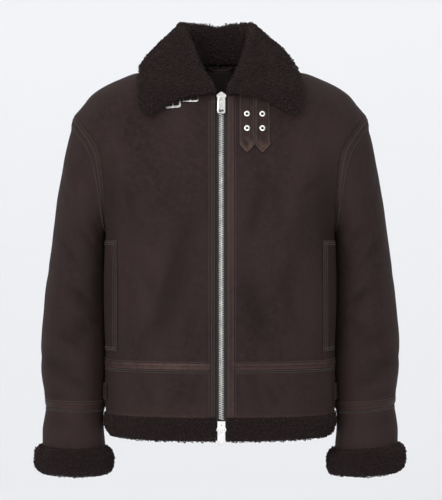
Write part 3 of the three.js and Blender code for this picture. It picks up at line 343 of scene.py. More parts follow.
def bareSleeve(side, angle, along):
    def ring(at):
        outX, outZ = sleeve["outX"](at), sleeve["outZ"](at)
        inX, inZ = sleeve["inX"](at), sleeve["inZ"](at)
        return point(
            (outX + inX) / 2 + (outX - inX) / 2 * np.cos(angle),
            sleeve["midY"](at) - sleeve["deep"](at) * np.sin(angle),
            (outZ + inZ) / 2 + (outZ - inZ) / 2 * np.cos(angle),
        )

    place = ring(along)
    fade = np.maximum(1 - along / armholeFade, 0) ** 2
    height = ringMiddle + ringHalf * np.cos(angle)
    isFront = (np.sin(angle) >= 0)[..., None]
    one = np.ones(np.shape(height))
    edge = np.where(isFront, bareTorso("front", 1, one, height), bareTorso("back", 1, one, height))
    place = place + (edge - ring(np.zeros(np.shape(along)))) * fade[..., None]
    place[..., 0] *= side
    return place


def sleevePoint(side, angle, along, moved, wrinkled=True):
    angle, along = np.broadcast_arrays(np.asarray(angle, float), np.asarray(along, float))
    step = 0.02
    around = bareSleeve(side, angle + step, along) - bareSleeve(side, angle - step, along)
    low = np.maximum(along - 3, 0)
    downward = bareSleeve(side, angle, along + 3) - bareSleeve(side, angle, low)
    normal = unit(np.cross(around, downward)) * side
    height = ringMiddle + ringHalf * np.cos(angle)
    one = np.ones(np.shape(height))
    isFront = (np.sin(angle) >= 0)[..., None]
    edge = np.where(isFront, torsoNormal("front", side, one, height),
                    torsoNormal("back", side, one, height))
    near = (1 - smooth(0, 12, along))[..., None]
    normal = unit(normal * (1 - near) + edge * near)
    bare = bareSleeve(side, angle, along)
    fade = smooth(0, 24, along)
    onInside = smooth(0.35, 0.8, -np.cos(angle))
    deep = sleeveTrough(sleeveCreases, along, angle) * (1 - 0.75 * onInside)
    pressed = moved - deep * fade
    if wrinkled:
        fade = fade * (1 - smooth(0.8, 0.95, -np.cos(angle)))
        pressed = pressed + (relief(bare) - sleeveTrough(fineSleeve, along, angle)) * fade
        beside = smooth(0.75, 0.95, -np.cos(angle)) * smooth(3, 16, along)
        pressed = pressed + touching["sleeve"] * beside * (1 - smooth(398, 413, along))
    return bare + normal * pressed[..., None]


def spread(start, end, count):
    return np.linspace(start, end, count + 1)


# Meshes

collection = bpy.context.scene.collection


def shellObject(name, outer, inner, looks, wear=None, roundIt=False, sharp=True, rim=0,
                parted=None, paintedFoldShade=None):
    rows, columns = outer.shape[:2]
    mesh = bmesh.new()
    bmesh.ops.create_grid(mesh, x_segments=columns - 1, y_segments=rows - 1, size=1)
    mesh.verts.ensure_lookup_table()
    insideOf = mesh.verts.layers.float_vector.new("inside")
    wearOf = mesh.verts.layers.float.new("wear")
    # This layer carries painted shade: how far the colour is darkened in the crease troughs
    paintedShadeOf = mesh.verts.layers.float.new("paintedFoldShade")
    flatOuter = (outer * perMetre).reshape(-1, 3).tolist()
    flatInner = (inner * perMetre).reshape(-1, 3).tolist()
    flatWear = np.zeros(rows * columns) if wear is None else np.asarray(wear, float).ravel()
    flatPaintedShade = np.zeros(rows * columns) if paintedFoldShade is None else np.asarray(paintedFoldShade, float).ravel()
    for i, vertex in enumerate(mesh.verts):
        vertex.co = flatOuter[i]
        vertex[insideOf] = flatInner[i]
        vertex[wearOf], vertex[paintedShadeOf] = flatWear[i], flatPaintedShade[i]
    if parted is not None:
        between = [
            face for face in mesh.faces
            if {vertex.index % columns for vertex in face.verts} == {parted, parted + 1}
        ]
        bmesh.ops.delete(mesh, geom=between, context="FACES_ONLY")
    if roundIt or parted is not None:
        bmesh.ops.remove_doubles(mesh, verts=mesh.verts[:], dist=1e-6)
    mesh.normal_update()
    outward = sum(
        face.normal.dot(face.verts[0].co - face.verts[0][insideOf]) for face in mesh.faces
    )
    if outward < 0:
        bmesh.ops.reverse_faces(mesh, faces=mesh.faces[:])
    outerFaces = mesh.faces[:]
    rimEdges = [edge for edge in mesh.edges if edge.is_boundary]
    loops = [edge.link_loops[0] for edge in rimEdges]
    ends = [(loop.vert, loop.link_loop_next.vert) for loop in loops]
    copied = bmesh.ops.duplicate(mesh, geom=mesh.verts[:] + mesh.edges[:] + mesh.faces[:])
    twins = copied["vert_map"]
    innerFaces = [item for item in copied["geom"] if isinstance(item, bmesh.types.BMFace)]
    for item in copied["geom"]:
        if isinstance(item, bmesh.types.BMVert):
            item.co = item[insideOf]
    bmesh.ops.reverse_faces(mesh, faces=innerFaces)
    for face in innerFaces:
        face.material_index = min(1, len(looks) - 1)
    for first, second in ends:
        face = mesh.faces.new((second, first, twins[first], twins[second]))
        face.material_index = min(rim, len(looks) - 1)
    for edge in rimEdges:
        edge.smooth = not sharp
    for face in mesh.faces:
        face.smooth = True
    mesh.verts.layers.float_vector.remove(mesh.verts.layers.float_vector["inside"])
    return objectFrom(name, mesh, looks)


def objectFrom(name, mesh, looks):
    data = bpy.data.meshes.new(name)
    mesh.to_mesh(data)
    mesh.free()
    made = bpy.data.objects.new(name, data)
    collection.objects.link(made)
    for look in looks:
        data.materials.append(look)
    return made


def settle(made, node=None, body="root"):
    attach(made, body)
    if node:
        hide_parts(node)


def stamp(name, template, frames, looks, shades=None):
    points, faces = template
    origin, axisX, axisY, axisZ = [np.asarray(part, float) for part in frames]
    placed = (
        origin[:, None]
        + points[None, :, 0:1] * axisX[:, None]
        + points[None, :, 1:2] * axisY[:, None]
        + points[None, :, 2:3] * axisZ[:, None]
    )
    count = len(points)
    allFaces = [[i * count + k for k in face] for i in range(len(origin)) for face in faces]
    data = bpy.data.meshes.new(name)
    data.from_pydata((placed.reshape(-1, 3) * perMetre).tolist(), [], allFaces)
    data.polygons.foreach_set("use_smooth", np.ones(len(allFaces), bool))
    if shades is not None:
        attribute = data.attributes.new("shade", "FLOAT", "POINT")
        attribute.data.foreach_set("value", np.repeat(shades, count).astype(np.float32))
    made = bpy.data.objects.new(name, data)
    collection.objects.link(made)
    for look in looks:
        data.materials.append(look)
    return made


def tubeTemplate(path, radii, sides=4):
    path = np.asarray(path, float)
    tangent = unit(np.gradient(path, axis=0))
    helper = np.array([0.0, 1, 0])
    points, faces = [], []
    for place, way, radius in zip(path, tangent, radii):
        first = unit(np.cross(way, helper))
        second = np.cross(first, way)
        for k in range(sides):
            turn = 2 * math.pi * k / sides
            points.append(place + radius * (math.cos(turn) * first + math.sin(turn) * second))
    for j in range(len(path) - 1):
        for k in range(sides):
            low, high = j * sides, (j + 1) * sides
            faces.append([low + k, high + k, high + (k + 1) % sides, low + (k + 1) % sides])
    faces.append(list(range(sides)))
    faces.append([(len(path) - 1) * sides + k for k in reversed(range(sides))])
    return np.array(points), faces


# Looks

def newTree(name, inputs, outputs):
    tree = bpy.data.node_groups.new(name, "ShaderNodeTree")
    for label, kind, value in inputs:
        socket = tree.interface.new_socket(label, in_out="INPUT", socket_type=kind)
        socket.default_value = value
    for label, kind in outputs:
        tree.interface.new_socket(label, in_out="OUTPUT", socket_type=kind)
    return tree, tree.nodes.new("NodeGroupInput"), tree.nodes.new("NodeGroupOutput")


def put(tree, kind, inputs=None, **settings):
    made = tree.nodes.new(kind)
    for key, value in settings.items():
        setattr(made, key, value)
    for key, value in (inputs or {}).items():
        if isinstance(value, bpy.types.NodeSocket):
            tree.links.new(value, made.inputs[key])
        else:
            made.inputs[key].default_value = value
    return made


def ramp(tree, source, stops):
    made = put(tree, "ShaderNodeValToRGB", {"Fac": source})
    elements = made.color_ramp.elements
    while len(elements) < len(stops):
        elements.new(0.5)
    for element, (place, value) in zip(elements, stops):
        element.position = place
        element.color = (value, value, value, 1) if isinstance(value, (int, float)) else value
    return made.outputs["Color"]


def maths(tree, operation, first, second=0.5):
    return put(tree, "ShaderNodeMath", {0: first, 1: second}, operation=operation).outputs[0]


def mixed(tree, share, first, second, blend="MIX"):
    made = put(tree, "ShaderNodeMix", data_type="RGBA", blend_type=blend)
    for index, value in ((0, share), (6, first), (7, second)):
        if isinstance(value, bpy.types.NodeSocket):
            tree.links.new(value, made.inputs[index])
        else:
            made.inputs[index].default_value = value
    return made.outputs[2]


def makeGrainGroup():
    tree, entry, leave = newTree(
        "grain",
        [("Scale", "NodeSocketFloat", 1.0), ("Crease", "NodeSocketFloat", 0.5)],
        [("Height", "NodeSocketFloat"), ("Pores", "NodeSocketFloat")],
    )
    where = put(tree, "ShaderNodeTexCoord").outputs["Object"]
    fine = maths(tree, "MULTIPLY", entry.outputs["Scale"], 520.0)
    broad = maths(tree, "MULTIPLY", entry.outputs["Scale"], 75.0)
    cells = put(tree, "ShaderNodeTexVoronoi", {"Vector": where, "Scale": fine},
                feature="DISTANCE_TO_EDGE").outputs["Distance"]
    pores = ramp(tree, cells, [(0.0, 0.0), (0.22, 1.0)])
    soft = put(tree, "ShaderNodeTexNoise", {"Vector": where, "Scale": broad, "Detail": 5.0,
                                            "Roughness": 0.62}).outputs["Fac"]
    folded = maths(tree, "MULTIPLY", soft, entry.outputs["Crease"])
    small = maths(tree, "MULTIPLY", pores, 0.22)
    tree.links.new(maths(tree, "ADD", folded, small), leave.inputs["Height"])
    tree.links.new(pores, leave.inputs["Pores"])
    return tree


def makeMottleGroup():
    tree, entry, leave = newTree(
        "mottle",
        [("Scale", "NodeSocketFloat", 1.0), ("Contrast", "NodeSocketFloat", 1.0)],
        [("Mask", "NodeSocketFloat"), ("Speck", "NodeSocketFloat")],
    )
    where = put(tree, "ShaderNodeTexCoord").outputs["Object"]
    drawn = put(tree, "ShaderNodeMapping", {"Vector": where, "Scale": (1.0, 1.0, 0.42)})
    broad = put(tree, "ShaderNodeTexNoise", {
        "Vector": drawn.outputs["Vector"],
        "Scale": maths(tree, "MULTIPLY", entry.outputs["Scale"], 22.0),
        "Detail": 4.0, "Roughness": 0.55, "Distortion": 0.3}).outputs["Fac"]
    centred = maths(tree, "SUBTRACT", broad, 0.5)
    scaled = maths(tree, "MULTIPLY", centred, entry.outputs["Contrast"])
    mask = put(tree, "ShaderNodeMath", {0: scaled, 1: 0.5}, operation="ADD", use_clamp=True)
    speck = put(tree, "ShaderNodeTexNoise", {
        "Vector": where, "Scale": maths(tree, "MULTIPLY", entry.outputs["Scale"], 210.0),
        "Detail": 3.0, "Roughness": 0.7}).outputs["Fac"]
    tree.links.new(mask.outputs[0], leave.inputs["Mask"])
    tree.links.new(speck, leave.inputs["Speck"])
    return tree


grainGroup = makeGrainGroup()
mottleGroup = makeMottleGroup()


def newLook(name):
    look = bpy.data.materials.new(name)
    look.use_nodes = True
    tree = look.node_tree
    return look, tree, tree.nodes["Principled BSDF"]


def placeGroup(tree, group, **inputs):
    made = put(tree, "ShaderNodeGroup", node_tree=group)
    for key, value in inputs.items():
        made.inputs[key].default_value = value
    return made


def setSockets(shader, values):
    for key, value in values.items():
        shader.inputs[key].default_value = value


def rgb(colour):
    return (*colour, 1.0)


# Skin: dark brown, with painted shade darkening it in its folds, lighter and redder where it is
# rubbed
skinLook = {
    "dark": (0.0165, 0.0097, 0.0091), "light": (0.0315, 0.0197, 0.0188),
    "paintedFoldShade": (0.0105, 0.0063, 0.0060), "worn": (0.058, 0.036, 0.032),
    "roughness": 0.74, "grainDepth": 0.0012, "sheen": 0.02, "gloss": 0.07,
}


def makeSkin(name, values, grainScale=1.0, crease=0.8):
    look, tree, shader = newLook(name)
    mottle = placeGroup(tree, mottleGroup, Scale=0.55, Contrast=2.2)
    grain = placeGroup(tree, grainGroup, Scale=grainScale, Crease=crease)
    base = mixed(tree, mottle.outputs["Mask"], rgb(values["dark"]), rgb(values["light"]))
    speckMask = ramp(tree, mottle.outputs["Speck"], [(0.38, 0.0), (0.66, 0.7)])
    base = mixed(tree, speckMask, base, rgb(values["light"]))
    # Painted shade: a per-point attribute darkens the base colour towards the fold colour in the
    # crease troughs
    paintedFoldShade = put(tree, "ShaderNodeAttribute", attribute_name="paintedFoldShade").outputs["Fac"]
    base = mixed(tree, paintedFoldShade, base, rgb(values["paintedFoldShade"]))
    wear = put(tree, "ShaderNodeAttribute", attribute_name="wear").outputs["Fac"]
    broken = maths(tree, "MULTIPLY", wear, ramp(tree, mottle.outputs["Speck"],
                                                [(0.3, 0.35), (0.62, 1.0)]))
    base = mixed(tree, broken, base, rgb(values["worn"]))
    tree.links.new(base, shader.inputs["Base Color"])
    rough = maths(tree, "MULTIPLY_ADD", grain.outputs["Pores"], 0.1)
    rough.node.inputs[2].default_value = values["roughness"] - 0.08
    tree.links.new(rough, shader.inputs["Roughness"])
    bump = put(tree, "ShaderNodeBump", {"Height": grain.outputs["Height"], "Strength": 0.85,
                                        "Distance": values["grainDepth"]})
    tree.links.new(bump.outputs["Normal"], shader.inputs["Normal"])
    setSockets(shader, {"Sheen Weight": values["sheen"], "Sheen Roughness": 0.5,
                        "Sheen Tint": (0.95, 0.72, 0.66, 1.0),
                        "Specular IOR Level": values["gloss"]})
    return look


skin = makeSkin("skin", skinLook)
# The tape's fold colour is the painted shade in its creases
tapeLook = dict(skinLook, dark=(0.0140, 0.0077, 0.0071), light=(0.029, 0.0164, 0.0151),
                paintedFoldShade=(0.022, 0.012, 0.011), worn=(0.084, 0.049, 0.043), roughness=0.62,
                gloss=0.12)
tapeSkin = makeSkin("seamTape", tapeLook, 1.4, 0.6)
strapLook = dict(skinLook, dark=(0.0105, 0.0060, 0.0056), light=(0.036, 0.0220, 0.0198),
                 worn=(0.086, 0.052, 0.042), roughness=0.58, gloss=0.1)
stripLook = dict(skinLook, worn=(0.050, 0.035, 0.033))
strapSkin = makeSkin("strapSkin", strapLook, 1.25, 0.9)
stripSkin = makeSkin("stripSkin", stripLook)
edgeTape = makeSkin("edgeTape", dict(tapeLook, dark=(0.023, 0.0123, 0.0112),
                                     light=(0.045, 0.0252, 0.0230)), 1.4, 0.6)
weltSkin = makeSkin("weltSkin", dict(stripLook, dark=(0.0125, 0.0074, 0.0070),
                                     light=(0.0250, 0.0157, 0.0150)))
# Painted shadow: a near-black look for the discs that stand in for the shade seen through the
# eyelet holes
holeShade = makeSkin("holeShade", dict(skinLook, dark=(0.003, 0.0025, 0.0025),
                                       light=(0.005, 0.004, 0.004), gloss=0.02))

# Wool: darkest between the curls, with a faint sheen on each
woolLook = {"deep": (0.0095, 0.0058, 0.0057), "dark": (0.0160, 0.0096, 0.0096),
            "light": (0.0320, 0.0198, 0.0194), "roughness": 0.8, "sheen": 0.06, "gloss": 0.07}


def makeWool(name, values, curls):
    look, tree, shader = newLook(name)
    mottle = placeGroup(tree, mottleGroup, Scale=2.2, Contrast=2.4)
    if curls:
        shade = put(tree, "ShaderNodeAttribute", attribute_name="shade").outputs["Fac"]
        base = mixed(tree, shade, rgb(values["dark"]), rgb(values["light"]))
        base = mixed(tree, ramp(tree, mottle.outputs["Speck"], [(0.3, 0.5), (0.7, 0.0)]),
                     base, rgb(values["dark"]))
    else:
        base = mixed(tree, mottle.outputs["Speck"], rgb(values["deep"]), rgb(values["dark"]))
    tree.links.new(base, shader.inputs["Base Color"])
    where = put(tree, "ShaderNodeTexCoord").outputs["Object"]
    loops = put(tree, "ShaderNodeTexVoronoi", {"Vector": where, "Scale": 260.0},
                feature="SMOOTH_F1").outputs["Distance"]
    strands = put(tree, "ShaderNodeTexNoise", {"Vector": where, "Scale": 900.0, "Detail": 3.0,
                                               "Distortion": 1.5}).outputs["Fac"]
    height = maths(tree, "MULTIPLY_ADD", strands, 0.5)
    tree.links.new(loops, height.node.inputs[2])
    bump = put(tree, "ShaderNodeBump", {"Height": height, "Strength": 0.9,
                                        "Distance": 0.0006 if curls else 0.003})
    tree.links.new(bump.outputs["Normal"], shader.inputs["Normal"])
    setSockets(shader, {"Roughness": values["roughness"], "Sheen Weight": values["sheen"],
                        "Sheen Roughness": 0.5, "Sheen Tint": (0.9, 0.74, 0.7, 1.0),
                        "Specular IOR Level": values["gloss"]})
    return look


woolBase = makeWool("woolBase", woolLook, False)
woolCurls = makeWool("woolCurls", woolLook, True)
# Painted light: the inside wool is a lightened copy of the same wool, lifting the shade inside the
# coat
woolInsidePaintedLight = makeWool("woolInsidePaintedLight", dict(woolLook, deep=(0.022, 0.0165, 0.016),
                                         dark=(0.040, 0.031, 0.030)), False)

metalLook = {"bright": (0.66, 0.65, 0.64), "dull": (0.36, 0.35, 0.34), "roughness": 0.24}


def makeMetal(name, values):
    look, tree, shader = newLook(name)
    mottle = placeGroup(tree, mottleGroup, Scale=8.0, Contrast=2.0)
    base = mixed(tree, mottle.outputs["Mask"], rgb(values["dull"]), rgb(values["bright"]))
    tree.links.new(base, shader.inputs["Base Color"])
    rough = maths(tree, "MULTIPLY_ADD", mottle.outputs["Speck"], 0.18)
    rough.node.inputs[2].default_value = values["roughness"] - 0.06
    tree.links.new(rough, shader.inputs["Roughness"])
    bump = put(tree, "ShaderNodeBump", {"Height": mottle.outputs["Speck"], "Strength": 0.25,
                                        "Distance": 0.0002})
    tree.links.new(bump.outputs["Normal"], shader.inputs["Normal"])
    setSockets(shader, {"Metallic": 1.0})
    return look


polished = makeMetal("polishedMetal", dict(metalLook, bright=(0.78, 0.77, 0.76),
                                           dull=(0.6, 0.59, 0.58), roughness=0.2))
teethMetal = makeMetal("teethMetal", metalLook)


def makeWoven(name, dark, light):
    look, tree, shader = newLook(name)
    where = put(tree, "ShaderNodeTexCoord").outputs["Object"]
    wave = put(tree, "ShaderNodeTexWave", {"Vector": where, "Scale": 520.0, "Distortion": 0.4},
               bands_direction="Z").outputs["Fac"]
    mottle = placeGroup(tree, mottleGroup, Scale=3.0, Contrast=1.5)
    base = mixed(tree, wave, rgb(dark), rgb(light))
    base = mixed(tree, maths(tree, "MULTIPLY", mottle.outputs["Mask"], 0.4), base, rgb(dark))
    tree.links.new(base, shader.inputs["Base Color"])
    bump = put(tree, "ShaderNodeBump", {"Height": wave, "Strength": 0.6, "Distance": 0.0003})
    tree.links.new(bump.outputs["Normal"], shader.inputs["Normal"])
    setSockets(shader, {"Roughness": 0.85, "Sheen Weight": 0.2})
    return look


wovenTape = makeWoven("wovenTape", (0.012, 0.009, 0.0085), (0.03, 0.022, 0.02))
threadLook = makeWoven("thread", (0.020, 0.0128, 0.0118), (0.044, 0.0290, 0.0262))
print("looks made")

# Body panels and bands. Heights follow the seams, so neighbours meet on the same points

sides = ((-1, "right"), (1, "left"))
panelGrid = {"across": 64, "tall": 84, "backAcross": 56, "bandTall": 26}


def zipEdgeOut(side, height, offZip):
    rows = torso["front"]["rows"]
    centreX = rows["centreX"](height)
    edge = side * zipSizes["x"] + zipSizes["edge"] + offZip
    across = np.clip((edge - centreX) / (rows["sideX"](height) - centreX), 0, 1)
    return np.arcsin(across) * 2 / np.pi


def torsoGrid(half, side, heights, columns, moved, offZip=0):
    height = heights[:, None] * np.ones(len(columns))
    start = zipEdgeOut(side, heights, offZip)[:, None] if half == "front" else 0
    out = start + (1 - start) * np.abs(columns)[None, :]
    out = np.broadcast_to(out, height.shape)
    sign = np.where(columns < 0, -1.0, 1.0) * np.ones(height.shape) if half == "back" else side
    places = torsoPointFor(half, sign, out, height, moved)
    atSeam = ((out > 0.9999) & (height <= armpitZ)) | (height > shoulderZ - 0.01)
    places[..., 1] += np.where(atSeam, cloth["seamGap"] / 2 * torso[half]["facing"], 0)
    return places


def torsoPointFor(half, sign, out, height, moved):
    if np.ndim(sign) == 0:
        return torsoPoint(half, sign, out, height, moved)
    left = torsoPoint(half, 1, out, height, moved)
    right = torsoPoint(half, -1, out, height, moved)
    return np.where((sign < 0)[..., None], right, left)


def seamWear(heights, columns, seams, reach=7):
    height = heights[:, None] * np.ones(len(columns))
    near = np.min([np.abs(height - seam) for seam in seams], axis=0)
    return 0.55 * (1 - smooth(0, reach, near))


# Painted shade: how far the colour darkens, from the depth of the creases under each point
def foldShade(half, outer):
    x, z = outer[..., 0], outer[..., 2]
    deep = creaseDepth(torso[half]["creases"], x, z) / 8
    return np.clip(deep + creaseDepth(torso[half]["fine"], x, z) / 4.2, 0, 0.55)


def lining(heights, columns, wall, seed):
    count = len(heights) * len(columns)
    generator = np.random.default_rng(seed)
    bumps = generator.uniform(-1.1, 1.1, count).reshape(len(heights), len(columns))
    bumps[0] = bumps[-1] = 0
    bumps[:, 0] = bumps[:, -1] = 0
    return -wall + bumps


def declareSheet(outer):
    down = float(np.median(np.linalg.norm(np.diff(outer, axis=0), axis=-1).sum(axis=0)))
    down = max(down * perMetre, 0.01)


def torsoBand(prefix, heights, outerAt, wall, looks, offZip, seed, seams, rub=0.0):
    for half in ("front", "back"):
        for side, label in sides if half == "front" else ((1, ""),):
            name = f"{prefix}{half}" + (f"_{label}" if label else "")
            columns, parted = spread(0, 1, panelGrid["across"]), None
            if half == "back":
                parted = panelGrid["backAcross"]
                rising = spread(0, 1, parted)
                columns = np.concatenate([-np.maximum(rising[::-1], 1e-9), rising])
            off = offZip[label] if half == "front" else 0
            outer = torsoGrid(half, side, heights, columns, outerAt, off)
            inside = lining(heights, columns, wall, seed) if wall > 3 else outerAt - wall
            inner = torsoGrid(half, side, heights, columns, inside, off)
            patch = np.exp(-(((outer[..., 0] + 85) / 62) ** 2)) * (outer[..., 1] < 0)
            wear = seamWear(heights, columns, seams) + rub * patch
            piece = shellObject(name + "_cloth", outer, inner, looks, wear, rim=2,
                                parted=parted, paintedFoldShade=foldShade(half, outer))
            settle(piece, name)
            declareSheet(outer)


def refined(low, high, count):
    heights = spread(low, high, count)
    heights[0] += cloth["seamGap"] / 2
    heights[-1] -= cloth["seamGap"] / 2
    return heights


noStrip = {"right": 0, "left": 0}
topRows = np.array([-95, -90, -86, -83.5, -82])
panelRows = np.concatenate([refined(cloth["bandSeamZ"], -100, panelGrid["tall"])[:-1],
                            np.array([-100.0]), topRows])
bandSeams = [cloth["bandSeamZ"]]
clothLooks = [skin, woolInsidePaintedLight, woolBase]
torsoBand("", panelRows, 0.0, cloth["bodyWall"], clothLooks, noStrip, 3, bandSeams)
bandRows = refined(cloth["fleeceSeamZ"], cloth["bandSeamZ"], panelGrid["bandTall"])
torsoBand("hem_band_", bandRows, 0.0, cloth["bodyWall"], clothLooks, noStrip, 4,
          bandSeams + [cloth["fleeceSeamZ"]])
tapeHalf = cloth["seamTape"] / 2
tapeRows = cloth["bandSeamZ"] + tapeHalf * np.array([-1, -0.8, -0.35, 0, 0.35, 0.8, 1])
tapeBulge = np.array([0.2, 0.9, 1.25, 1.35, 1.25, 0.9, 0.2])[:, None]
tapeOff = {"right": zipSizes["stripRight"] + 0.3, "left": zipSizes["stripLeft"] + 0.3}
torsoBand("hem_tape_", tapeRows, cloth["lift"] + tapeBulge, 1.0, [tapeSkin],
          tapeOff, 5, [cloth["bandSeamZ"] + tapeHalf, cloth["bandSeamZ"] - tapeHalf], rub=0.45)
print("body panels made")

# Sleeves and cuffs

sleeveGrid = {"around": 72, "long": 96, "cuff": 20}
cuffSlant = {"right": 2, "left": 5}


def slanted(label, angle, along):
    return along - cuffSlant[label] * np.cos(angle) * np.minimum(along / cuffSeam, 1) ** 6


def sleeveGridOf(side, label, alongs, moved, wrinkled=True):
    angles = spread(0, 2 * np.pi, sleeveGrid["around"]) - np.pi
    along = slanted(label, angles[None, :], alongs[:, None])
    angle = np.broadcast_to(angles[None, :], along.shape)
    return sleevePoint(side, angle, along, moved, wrinkled)


def tubeOf(name, node, side, label, alongs, moved, wall, looks, seams, seed):
    outer = sleeveGridOf(side, label, alongs, moved)
    inside = moved - wall
    if wall > 3:
        generator = np.random.default_rng(seed)
        bumps = generator.uniform(-1, 1, outer.shape[:2])
        bumps[0] = bumps[-1] = 0
        bumps[:, -1] = bumps[:, 0]
        inside = moved - wall + bumps
    inner = sleeveGridOf(side, label, alongs, inside)
    near = np.min([np.abs(alongs - seam) for seam in seams], axis=0)[:, None]
    wear = 0.32 * (1 - smooth(0, 6, near)) * np.ones(outer.shape[1])
    angle = (spread(0, 2 * np.pi, sleeveGrid["around"]) - np.pi)[None, :]
    # Painted shade in the sleeve creases, faded out on the inner side of the sleeve
    deep = sleeveTrough(sleeveCreases, alongs[:, None], angle) / 5
    paintedFoldShade = np.clip(deep + sleeveTrough(fineSleeve, alongs[:, None], angle) / 4, 0, 0.7)
    paintedFoldShade = paintedFoldShade * (1 - smooth(0.1, 0.6, -np.cos(angle)))
    piece = shellObject(name, outer, inner, looks, wear, roundIt=True, paintedFoldShade=paintedFoldShade)
    settle(piece, node)
    declareSheet(outer)


for side, label in sides:
    steps = np.concatenate([[0.45, 2, 4, 6, 8, 10, 12, 14, 16, 19],
                            spread(22, cuffSeam - 0.15, sleeveGrid["long"])])
    seamRidge = (1.7 * np.exp(-((steps - 7) / 5) ** 2) - 0.7 * np.exp(-((steps - 17) / 3) ** 2))
    seamRidge = seamRidge[:, None]
    tubeOf(f"sleeve_{label}_cloth", f"sleeve_{label}", side, label, steps, seamRidge,
           cloth["sleeveWall"], [skin, woolInsidePaintedLight], [0, cuffSeam], 7)
    cuffSteps = spread(cuffSeam + 0.15, cuffEdge - 0.15, sleeveGrid["cuff"])
    tubeOf(f"cuff_{label}_cloth", f"cuff_{label}", side, label, cuffSteps, 0.0,
           cloth["sleeveWall"], [skin, woolInsidePaintedLight], [cuffSeam, cuffEdge], 8)
    tapeSteps = cuffSeam + tapeHalf * np.array([-1, -0.8, -0.35, 0, 0.35, 0.8, 1])
    tubeOf(f"cuff_tape_{label}_cloth", f"cuff_tape_{label}", side, label, tapeSteps,
           cloth["lift"] + tapeBulge, 1.0, [tapeSkin],
           [cuffSeam - tapeHalf, cuffSeam + tapeHalf], 9)
print("sleeves made")

# Wool: a lumpy body just inside its solid, covered with small curls

curlSizes = {"tall": 2.7, "long": 2.9, "thick": 0.72, "spacing": 3.1, "collarSpacing": 3.27,
             "sink": 2.0}


def curlTemplates(count, seed):
    generator = np.random.default_rng(seed)
    made = []
    for _ in range(count):
        lean, twist = generator.uniform(0.6, 1.3), generator.uniform(-1.6, 1.6)
        t = np.linspace(0, 1, 4)
        path = np.stack([
            curlSizes["long"] * lean * (1 - np.cos(t * np.pi * 0.9)) / 2,
            twist * np.sin(t * np.pi * 1.6),
            curlSizes["tall"] * np.sin(t * np.pi * 0.82) - 0.6,
        ], axis=1)
        radii = curlSizes["thick"] * np.array([1.05, 1.25, 1.1, 0.5])
        made.append(tubeTemplate(path, radii, 3))
    return made


templates = curlTemplates(5, 21)


def scattered(piece, spacing, seed, keep):
    bpy.context.view_layer.update()
    evaluated = piece.evaluated_get(bpy.context.evaluated_depsgraph_get())
    data = evaluated.to_mesh()
    data.calc_loop_triangles()
    corners = np.empty(len(data.vertices) * 3)
    data.vertices.foreach_get("co", corners)
    corners = corners.reshape(-1, 3) / perMetre
    index = np.empty(len(data.loop_triangles) * 3, int)
    data.loop_triangles.foreach_get("vertices", index)
    triangles = corners[index.reshape(-1, 3)]
    evaluated.to_mesh_clear()
    crossing = np.cross(triangles[:, 1] - triangles[:, 0], triangles[:, 2] - triangles[:, 0])
    areas = np.linalg.norm(crossing, axis=1) / 2
    normals = unit(crossing)
    kept = keep(triangles.mean(axis=1), normals)
    triangles, areas, normals = triangles[kept], areas[kept], normals[kept]
    generator = np.random.default_rng(seed)
    wanted = int(areas.sum() / spacing ** 2 * 3.2)
    chosen = generator.choice(len(areas), wanted, p=areas / areas.sum())
    first, second = generator.uniform(0, 1, (2, wanted))
    over = first + second > 1
    first, second = np.where(over, 1 - first, first), np.where(over, 1 - second, second)
    base = triangles[chosen]
    places = base[:, 0] + first[:, None] * (base[:, 1] - base[:, 0])
    places = places + second[:, None] * (base[:, 2] - base[:, 0])
    cell, picked = {}, []
    reach = spacing * 0.82
    for i, place in enumerate(places.tolist()):
        key = tuple(int(v // reach) for v in place)
        near = (
            cell.get((key[0] + a, key[1] + b, key[2] + c), ())
            for a in (-1, 0, 1) for b in (-1, 0, 1) for c in (-1, 0, 1)
        )
        if any(math.dist(place, places[j]) < reach for group in near for j in group):
            continue
        cell.setdefault(key, []).append(i)
        picked.append(i)
    picked = np.array(picked)
    return places[picked], normals[chosen[picked]]


def curlsOn(piece, name, spacing, seed, keep=lambda middle, normal: np.ones(len(middle), bool),
            size=1.0):
    places, normals = scattered(piece, spacing, seed, keep)
    generator = np.random.default_rng(seed + 1)
    count = len(places)
    helper = generator.normal(size=(count, 3)) + np.array([0, 0, -0.7])
    normals = unit(normals + 0.35 * generator.normal(size=(count, 3)))
    forward = unit(helper - normals * (helper * normals).sum(axis=1, keepdims=True))
    beside = np.cross(normals, forward)
    scale = size * generator.uniform(0.75, 1.3, (count, 1))
    tall = scale * generator.uniform(0.75, 1.2, (count, 1))
    shades = generator.uniform(0.0, 1.0, count)
    group = generator.integers(0, len(templates), count)
    parts = []
    for i, template in enumerate(templates):
        mine = group == i
        frames = (places[mine], forward[mine] * scale[mine], beside[mine] * scale[mine],
                  normals[mine] * tall[mine])
        parts.append(stamp(f"{name}_{i}", template, frames, [woolCurls], shades[mine]))
    joined = joinParts(parts, name)
    settle(joined)
    print(name, count, "curls")


def joinParts(parts, name):
    with bpy.context.temp_override(active_object=parts[0], selected_editable_objects=parts):
        bpy.ops.object.join()
    parts[0].name = name
    parts[0].data.name = name
    return parts[0]


def lumpy(places, normals, amount, size, seed):
    flat = places.reshape(-1, 3)
    offset = Vector((seed * 3.1, seed * 1.7, seed * 0.9))
    lumps = np.array([
        noise.noise(Vector(p) / size + offset) + 0.5 * noise.noise(Vector(p) / (size * 0.45))
        for p in flat.tolist()
    ]).reshape(places.shape[:-1])
    return places + normals * (amount * lumps)[..., None]


rollGrid = {"around": 120, "backAround": 220, "deep": 10}
hemOut, hemIn = curveThrough(hemRoll, "down", "out"), curveThrough(hemRoll, "down", "inside")


